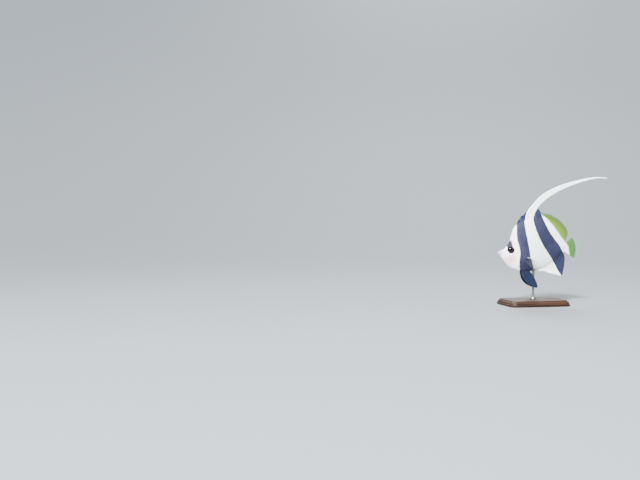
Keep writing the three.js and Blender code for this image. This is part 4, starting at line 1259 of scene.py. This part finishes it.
def column_heights(x, pitch, shift):
    """Heights of the scales of one column, by distance over the bare body from the middle line."""
    top = curve_at(BACK, np.interp(x, [a for a, _ in BACK], range(len(BACK))))[1]
    low = np.interp(x, *zip(*BELLY))
    heights = np.linspace(low - COLUMN_OVERLAP, top + COLUMN_OVERLAP, COLUMN_STEPS)
    widths = np.nan_to_num(flank_at(np.full(heights.shape, x), heights))
    far = travelled(np.column_stack([heights, widths]))
    middle = np.interp(np.interp(x, *zip(*MIDDLE_LINE)), heights, far)
    first, last = -middle / pitch - shift, (far[-1] - middle) / pitch - shift
    rows = np.arange(math.ceil(first), math.floor(last) + 1)
    return np.interp(middle + (rows + shift) * pitch, far, heights)


def lattice(sizes, start, end):
    """Places and sizes of scales from start back to end, and how far each is behind the gill cover."""
    places, x, column = [], start, 0
    while x < end:
        pitch = float(np.interp(x, *sizes))
        places += [(x, z, pitch) for z in column_heights(x, pitch, 0.5 * (column % 2))]
        x += pitch * COLUMN_PITCH
        column += 1
    places = np.array(places)
    return places, places[:, 0] - gill_edge(places[:, 1])


def from_snout(x, z):
    """How far back a place lies, measured over the wedge of the snout."""
    return x + SNOUT_WEDGE * np.abs(z - MOUTH_HEIGHT)


def bare_of_scales(x, z):
    """True at the lips, the eye, the nostrils, the fin roots, the gill slit and the cheek's groove."""
    past = x - gill_edge(z)
    eye = np.hypot(x - EYE["x"], z - EYE["z"]) < BARE_EYE
    nose = np.hypot(x - BARE_NOSE[0], z - BARE_NOSE[1]) < BARE_NOSE[2]
    fin = np.hypot((x - BARE_FIN[0]) / BARE_FIN[2], (z - BARE_FIN[1]) / BARE_FIN[3]) < 1
    slit = (past > BARE_SLIT["from"]) & (past < BARE_SLIT["to"])
    slit &= (z > BARE_SLIT["low"]) & (z < BARE_SLIT["high"])
    groove = distance_to(CHEEK_LINE, x, z) < BARE_GROOVE
    return eye | (from_snout(x, z) < BARE_SNOUT) | nose | fin | slit | groove


def on_skin(places, side):
    """Roots of scales on the sculpted skin of one flank, with all that the tree needs."""
    found = []
    for x, z, size in places:
        point, normal, _, _ = skin_tree.ray_cast(Vector(to_frame([x, side * 40, z])), Vector((0, -side, 0)))
        behind = CREST_FROM["back" if z > 0 else "belly"]
        if point is not None and not (abs(point.y) < CREST * MM and x > behind):
            found.append((*point, *normal, x, z, size))
    found = np.array(found)
    x, z, size = found[:, 6:].T
    u, angle = rib_through(x, z)
    angle = np.where(side < 0, angle, math.pi - angle)
    lie = body_point(np.minimum(u + NEARBY, LAST_RIB), angle) - body_point(np.maximum(u - NEARBY, 0), angle)
    round_body = body_point(u, angle + NEARBY) - body_point(u, angle - NEARBY)
    bare = unit(np.cross(lie, round_body))
    bare *= np.sign((bare * found[:, 3:6]).sum(1, keepdims=True))
    away = {"slit": np.abs(x - gill_edge(z)), "lobe": from_fin_lobe(x, z),
            "snout": from_snout(x, z) - BARE_SNOUT}
    for feature, far in away.items():
        size = size * mix(SMALLEST[feature], 1, smooth(*FULL_SIZE[feature], far))
    return found[:, :3], {
        "outward": unit(bare + SCULPT_SHARE * found[:, 3:6]),
        "lie": lie,
        "size": size * MM,
        "skin_place": np.column_stack([u / LAST_RIB, (angle / (2 * math.pi)) % 1, 0 * u]),
    }


scale_rng = np.random.default_rng(SEED)
trunk_places, past = lattice(TRUNK_SIZES, *TRUNK_SPAN)
trunk_places = trunk_places[past > TRUNK_FROM]
head_places, past = lattice(HEAD_SIZES, *HEAD_SPAN)
head_places = head_places[past <= 0]
for places, part, slot in ((trunk_places, "trunk", "body_skin"), (head_places, "head", "face_skin")):
    places = places[~bare_of_scales(places[:, 0], places[:, 1])]
    for side, name in ((-1, "left"), (1, "right")):
        roots, bed = on_skin(places, side)
        roots = roots - bed["outward"] * bed["size"][:, None] * BEDDED
        tones = scale_rng.uniform(-1, 1, len(roots))
        lay_coat(f"{name}_{part}_scales", roots, bed, tones, BODY_PLATE)

# %% [markdown]
# The coat runs on over the fleshy bases of the fins, in ever smaller scales. They are laid in rows across
# the rays on both faces of a fin, by dropping each root on to the fin from the side. The rays' ridges are
# smoothed out of each row, and the coat ends in a wavy edge.

# %% Scales on the bases of the fins
SHEATH = {"start": 2.0, "size": 1.5, "shrink": 0.93, "least": 0.55, "pitch": 1.1}
SHEATH_PLATE = {"Length": 1.4, "Width": 1.25, "Thickness": 0.05, "Lift": 0.08}
SHEATH_EDGE = {"middle": 0.7, "long": (0.12, 37.0), "short": (0.08, 83.0), "loose": 0.08}
SMOOTHED = 3                       # neighbours to each side that a root's level is the mean of
UNWRAP = {"from": 0.05, "length": 0.9, "first": 0.02, "row": 0.006}  # shares of the bake map


def drop_on(fin_tree, x, z, side):
    """How far out the face of a fin lies, in millimetres, or 0 beside the fin."""
    point, _, _, _ = fin_tree.ray_cast(Vector(to_frame([x, side * 8, z])), Vector((0, -side, 0)))
    return 0 if point is None else abs(point.y) / MM


def wave(share, height, rate, shift=0):
    return height * np.sin(share * rate + shift)


def fin_coat(fin, name, spec, reach, unwrap_row):
    """Small scales on both faces of a fin in the mid-plane, up to reach millimetres over the skin."""
    fin_tree = BVHTree.FromObject(fin, bpy.context.evaluated_depsgraph_get())

    def out_along(s, out):
        foot = root_line(spec, s)
        ray = unit(margin_line(spec, s) - foot)
        return foot + ray * out, ray

    found, out, size, row = [], SHEATH["start"], SHEATH["size"], 0
    while out < ROOT_SINK + reach:
        length = travelled(out_along(np.linspace(0, 1, 200), out)[0])[-1]
        across = np.arange(0.5 * (row % 2), length / size) * size / length
        spot, ray = out_along(across, out)
        edge = SHEATH_EDGE["middle"] + wave(across, *SHEATH_EDGE["long"])
        edge = edge + wave(across, *SHEATH_EDGE["short"], 1)
        loose = scale_rng.uniform(-SHEATH_EDGE["loose"], SHEATH_EDGE["loose"], len(across))
        kept = out < ROOT_SINK + reach * (edge + loose)
        for side in (-1, 1):
            high = [drop_on(fin_tree, x, z, side) for x, z in spot]
            mean = np.full(2 * SMOOTHED + 1, 1 / (2 * SMOOTHED + 1))
            level = np.convolve(np.pad(high, SMOOTHED, "edge"), mean, "valid")
            unwrapped = unwrap_row + side * (UNWRAP["first"] + UNWRAP["row"] * row)
            for k in np.flatnonzero(kept & (level > 0)):
                found.append((spot[k, 0], side * level[k], spot[k, 1], 0, side, 0, ray[k, 0], 0, ray[k, 1],
                              size, across[k] * UNWRAP["length"] + UNWRAP["from"], unwrapped, 0))
        out += size * COLUMN_PITCH * SHEATH["pitch"]
        size = max(size * SHEATH["shrink"], SHEATH["least"])
        row += 1
    found = np.array(found)
    bed = {"outward": found[:, 3:6], "lie": found[:, 6:9], "size": found[:, 9] * MM,
           "skin_place": found[:, 10:]}
    tones = scale_rng.uniform(-1, 1, len(found))
    lay_coat(name, to_frame(found[:, :3]), bed, tones, SHEATH_PLATE)


fin_coat(dorsal_fin, "dorsal_scales", DORSAL, 7.5, 0.25)
fin_coat(anal_fin, "anal_scales", ANAL, 6.5, 0.75)
fin_coat(tail_fin, "caudal_scales", TAIL_FIN, 6.0, 0.5)

# %% [markdown]
# The lateral line arches high over the trunk from the top of the gill cover to the tail. Each of its scales
# carries a little tube, and the row of tubes is what the eye follows.

# %% Tubes of the lateral line
LATERAL_LINE = [(50.5, 17), (56, 27), (66, 38.5), (80, 45.5), (96, 45), (110, 38), (122, 29), (133, 20.5),
                (142, 14), (149, 11.2)]
TUBE_OUTLINE = [(0.0, -0.22), (0.2, -0.42), (0.7, -0.46), (0.95, -0.25), (1.0, 0.0)]
TUBE_PLATE = {"Length": 0.92, "Width": 0.40, "Thickness": 0.18, "Lift": 0.05}
TUBE_SIZES = ([0, 0.7, 1], [1.9, 1.8, 1.2])
TUBE_PITCH = 1.95
TUBE_RAISED = 0.14
TUBE_TONE = -0.6
tube_shape = plate_mesh("tube_shape", TUBE_OUTLINE, crown=0.5)
line_length = travelled(along_curve(LATERAL_LINE, np.linspace(0, 1, 300)))[-1]
tube_share = np.arange(0, 1, TUBE_PITCH / line_length)
tube_places = np.column_stack([along_curve(LATERAL_LINE, tube_share), np.interp(tube_share, *TUBE_SIZES)])
tube_ahead = np.insert(ahead_on(LATERAL_LINE, tube_share, 0.01), 1, 0, axis=1)
for side, name in ((-1, "left"), (1, "right")):
    roots, bed = on_skin(tube_places, side)
    bed["lie"] = unit(bed["lie"]) + tube_ahead
    roots = roots + bed["outward"] * TUBE_RAISED * MM
    tones = np.full(len(roots), TUBE_TONE)
    lay_coat(f"{name}_lateral_line", roots, bed, tones, TUBE_PLATE, tube_shape)

# %% [markdown]
# The stand is plain: a walnut plate with a moulded edge, and a turned steel rod. The plate's edge is a
# profile of insets and heights, carried round a rectangle with round corners, with every arris softened as a
# maker would.

# %% The wooden base
BASE_LENGTH = 132
BASE_WIDTH = 84
BASE_CORNER = 14
BASE_PROFILE = [(1.2, 0.0), (0.3, 0.25), (0.0, 0.9), (0.0, 3.6), (0.3, 4.3), (1.0, 4.7), (1.5, 4.9),
                (1.55, 5.3), (1.7, 6.6), (2.4, 8.0), (3.6, 9.1), (4.9, 9.6), (5.4, 9.8), (5.45, 10.2),
                (5.7, 11.2), (6.4, 11.85), (7.4, 12.0)]
CORNER_STEPS = 20
WALNUT_DARK = (0.012, 0.0052, 0.0026, 1)
WALNUT_PALE = (0.027, 0.0120, 0.0062, 1)
WALNUT_PORE = (0.006, 0.0025, 0.0012, 1)
RING_SPACING = 90.0                # a plank's rings: how close they lie, how they warp, and their sharpness
RING_WARP = 3.0
RING_RATE = 6.0

wood, w, place = new_material("walnut")
warp = w.noise(w.stretched(place, (3.0, 26.0, 26.0)), 2.2)
plank = w.sum("MULTIPLY", w.node("ShaderNodeSeparateXYZ", {"Vector": place})["Y"], RING_SPACING)
rings = w.sum("SINE", w.sum("MULTIPLY", w.sum("MULTIPLY_ADD", warp, RING_WARP, plank), RING_RATE))
fibre = w.noise(w.stretched(place, (40.0, 1500.0, 1500.0)), 1.0)
colour = w.blend(w.ramp(rings, -1.0, 1.0), WALNUT_DARK, WALNUT_PALE)
w.finish((fibre, 0.25, 0.0002), Base_Color=w.blend(w.ramp(fibre, 0.55, 0.75), colour, WALNUT_PORE),
         Roughness=w.ramp(fibre, 0.3, 0.7, 0.45, 0.62), Specular_IOR_Level=0.16, Coat_Weight=0.03,
         Coat_Roughness=0.4)


def rounded_rectangle(inset, height):
    """Points round the base, inset from its edge."""
    radius = BASE_CORNER - min(inset, BASE_CORNER - 1)
    half_x, half_y = BASE_LENGTH / 2 - inset - radius, BASE_WIDTH / 2 - inset - radius
    points = []
    for quarter, (sx, sy) in enumerate([(1, 1), (-1, 1), (-1, -1), (1, -1)]):
        for k in range(CORNER_STEPS + 1):
            angle = (quarter + k / CORNER_STEPS) * math.pi / 2
            x = sx * half_x + radius * math.cos(angle)
            y = sy * half_y + radius * math.sin(angle)
            points.append((x, y, height))
    return points


base_rings = np.array([rounded_rectangle(inset, height) for inset, height in BASE_PROFILE])
base = loft("base_plate", base_rings * MM, "stand_wood", ["stand_base"], wood)
base.data.set_sharp_from_angle(angle=math.radians(40))

# %% [markdown]
# The rod is what a turner would make from one bar: a collar at its foot that spreads the load on the wood, a
# slim shaft, a bead, and a cup that takes the belly. Brushing along the lathe's turn leaves fine rings, so
# the noise in its finish is stretched flat.

# %% The steel rod
ROD_SIDES = 64
ROD_PROFILE = [(6.9, 0), (7.4, 0.15), (7.5, 0.5), (7.5, 1.1), (7.3, 1.4), (6.9, 1.5), (6.5, 1.65),
               (6.3, 2.0), (6.1, 2.6), (5.2, 3.2), (4.2, 3.7), (3.5, 4.4), (3.25, 4.9), (2.65, 5.2),
               (2.5, 5.6)]
CUP_PROFILE = [(2.5, -13.5), (2.62, -12.2), (3.1, -11.6), (3.3, -11.1), (3.1, -10.6), (2.7, -10.2),
               (2.62, -9.0), (2.8, -7.2), (3.3, -5.2), (3.95, -3.8), (4.3, -2.9), (4.4, -2.2),
               (4.4, -0.4), (4.2, 0.0)]
STEEL_DARK = (0.12, 0.125, 0.135, 1)
STEEL_PALE = (0.19, 0.195, 0.205, 1)

steel, w, place = new_material("brushed_steel")
brushed = w.noise(w.stretched(place, (60.0, 60.0, 4200.0)), 1.0, 2.0)
w.finish((brushed, 0.2, 0.0001), Base_Color=w.blend(w.ramp(brushed, 0.3, 0.7), STEEL_DARK, STEEL_PALE),
         Roughness=w.ramp(brushed, 0.3, 0.7, 0.22, 0.42), Metallic=1.0)

rod_low, rod_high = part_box("stand_rod")
profile = [(r, rod_low.z / MM + z) for r, z in ROD_PROFILE]
profile += [(r, rod_high.z / MM + z) for r, z in CUP_PROFILE]
rod = loft("rod", spun(profile, ROD_SIDES) * MM, "stand_steel", ["stand_rod"], steel)
rod.data.set_sharp_from_angle(angle=math.radians(35))

# %% [markdown]
# The floor and backdrop are one round sweep, pale all the way up, so that every side of the model is seen
# before the same soft ground. A strong lamp behind the camera's shoulder lights the flank, a wide one behind
# the fish draws the outline of the fins, and a faint one overhead fills the back.

# %% Floor, backdrop and light
SWEEP = [(0.0, 0.0), (0.8, 0.0), (1.5, 0.0), (2.0, 0.04), (2.5, 0.18), (2.95, 0.45), (3.3, 0.85), (3.5, 1.4),
         (3.6, 2.2), (3.6, 3.4)]
SWEEP_ROWS = 60
SWEEP_SIDES = 96
FLOOR_SUNK = 0.0001
PAPER = (0.132, 0.147, 0.161, 1)
SKY = (0.95, 0.97, 1.0, 1)
SKY_STRENGTH = 0.5
LAMPS = [("key", (-1.66, -2.38, 2.4), 0.6, 960), ("rim", (0.85, 2.75, 3.0), 1.6, 300),
         ("top", (0.0, 0.0, 3.2), 3.0, 90)]

sweep = spun(by_points(SWEEP, np.linspace(0, 1, SWEEP_ROWS))[1:], SWEEP_SIDES)
sweep[..., 2] = np.maximum(sweep[..., 2], 0) - FLOOR_SUNK
inward = grid_faces(len(sweep), SWEEP_SIDES, closed=True)[:, ::-1]
floor = add_mesh("floor", sweep.reshape(-1, 3), [*inward, range(SWEEP_SIDES)])
paper, w, place = new_material("paper")
w.finish(Base_Color=PAPER, Roughness=0.85)
floor.data.materials.append(paper)

world = bpy.data.worlds.new("studio")
world.use_nodes = True
background = world.node_tree.nodes["Background"].inputs
background["Color"].default_value = SKY
background["Strength"].default_value = SKY_STRENGTH
bpy.context.scene.world = world

for name, where, width, power in LAMPS:
    lamp = bpy.data.lights.new(name, "AREA")
    lamp.size = width
    lamp.energy = power
    lamp_object = add_object(name, lamp)
    lamp_object.location = where
    lamp_object.rotation_euler = (AIM - Vector(where)).to_track_quat("-Z", "Y").to_euler()
print("lamps:", [name for name, *_ in LAMPS])

# %% [markdown]
# The two plates were only patterns for the coat, so they go.

# %% The patterns go
for shape in (scale_shape, tube_shape):
    bpy.data.objects.remove(shape)
bpy.context.view_layer.update()
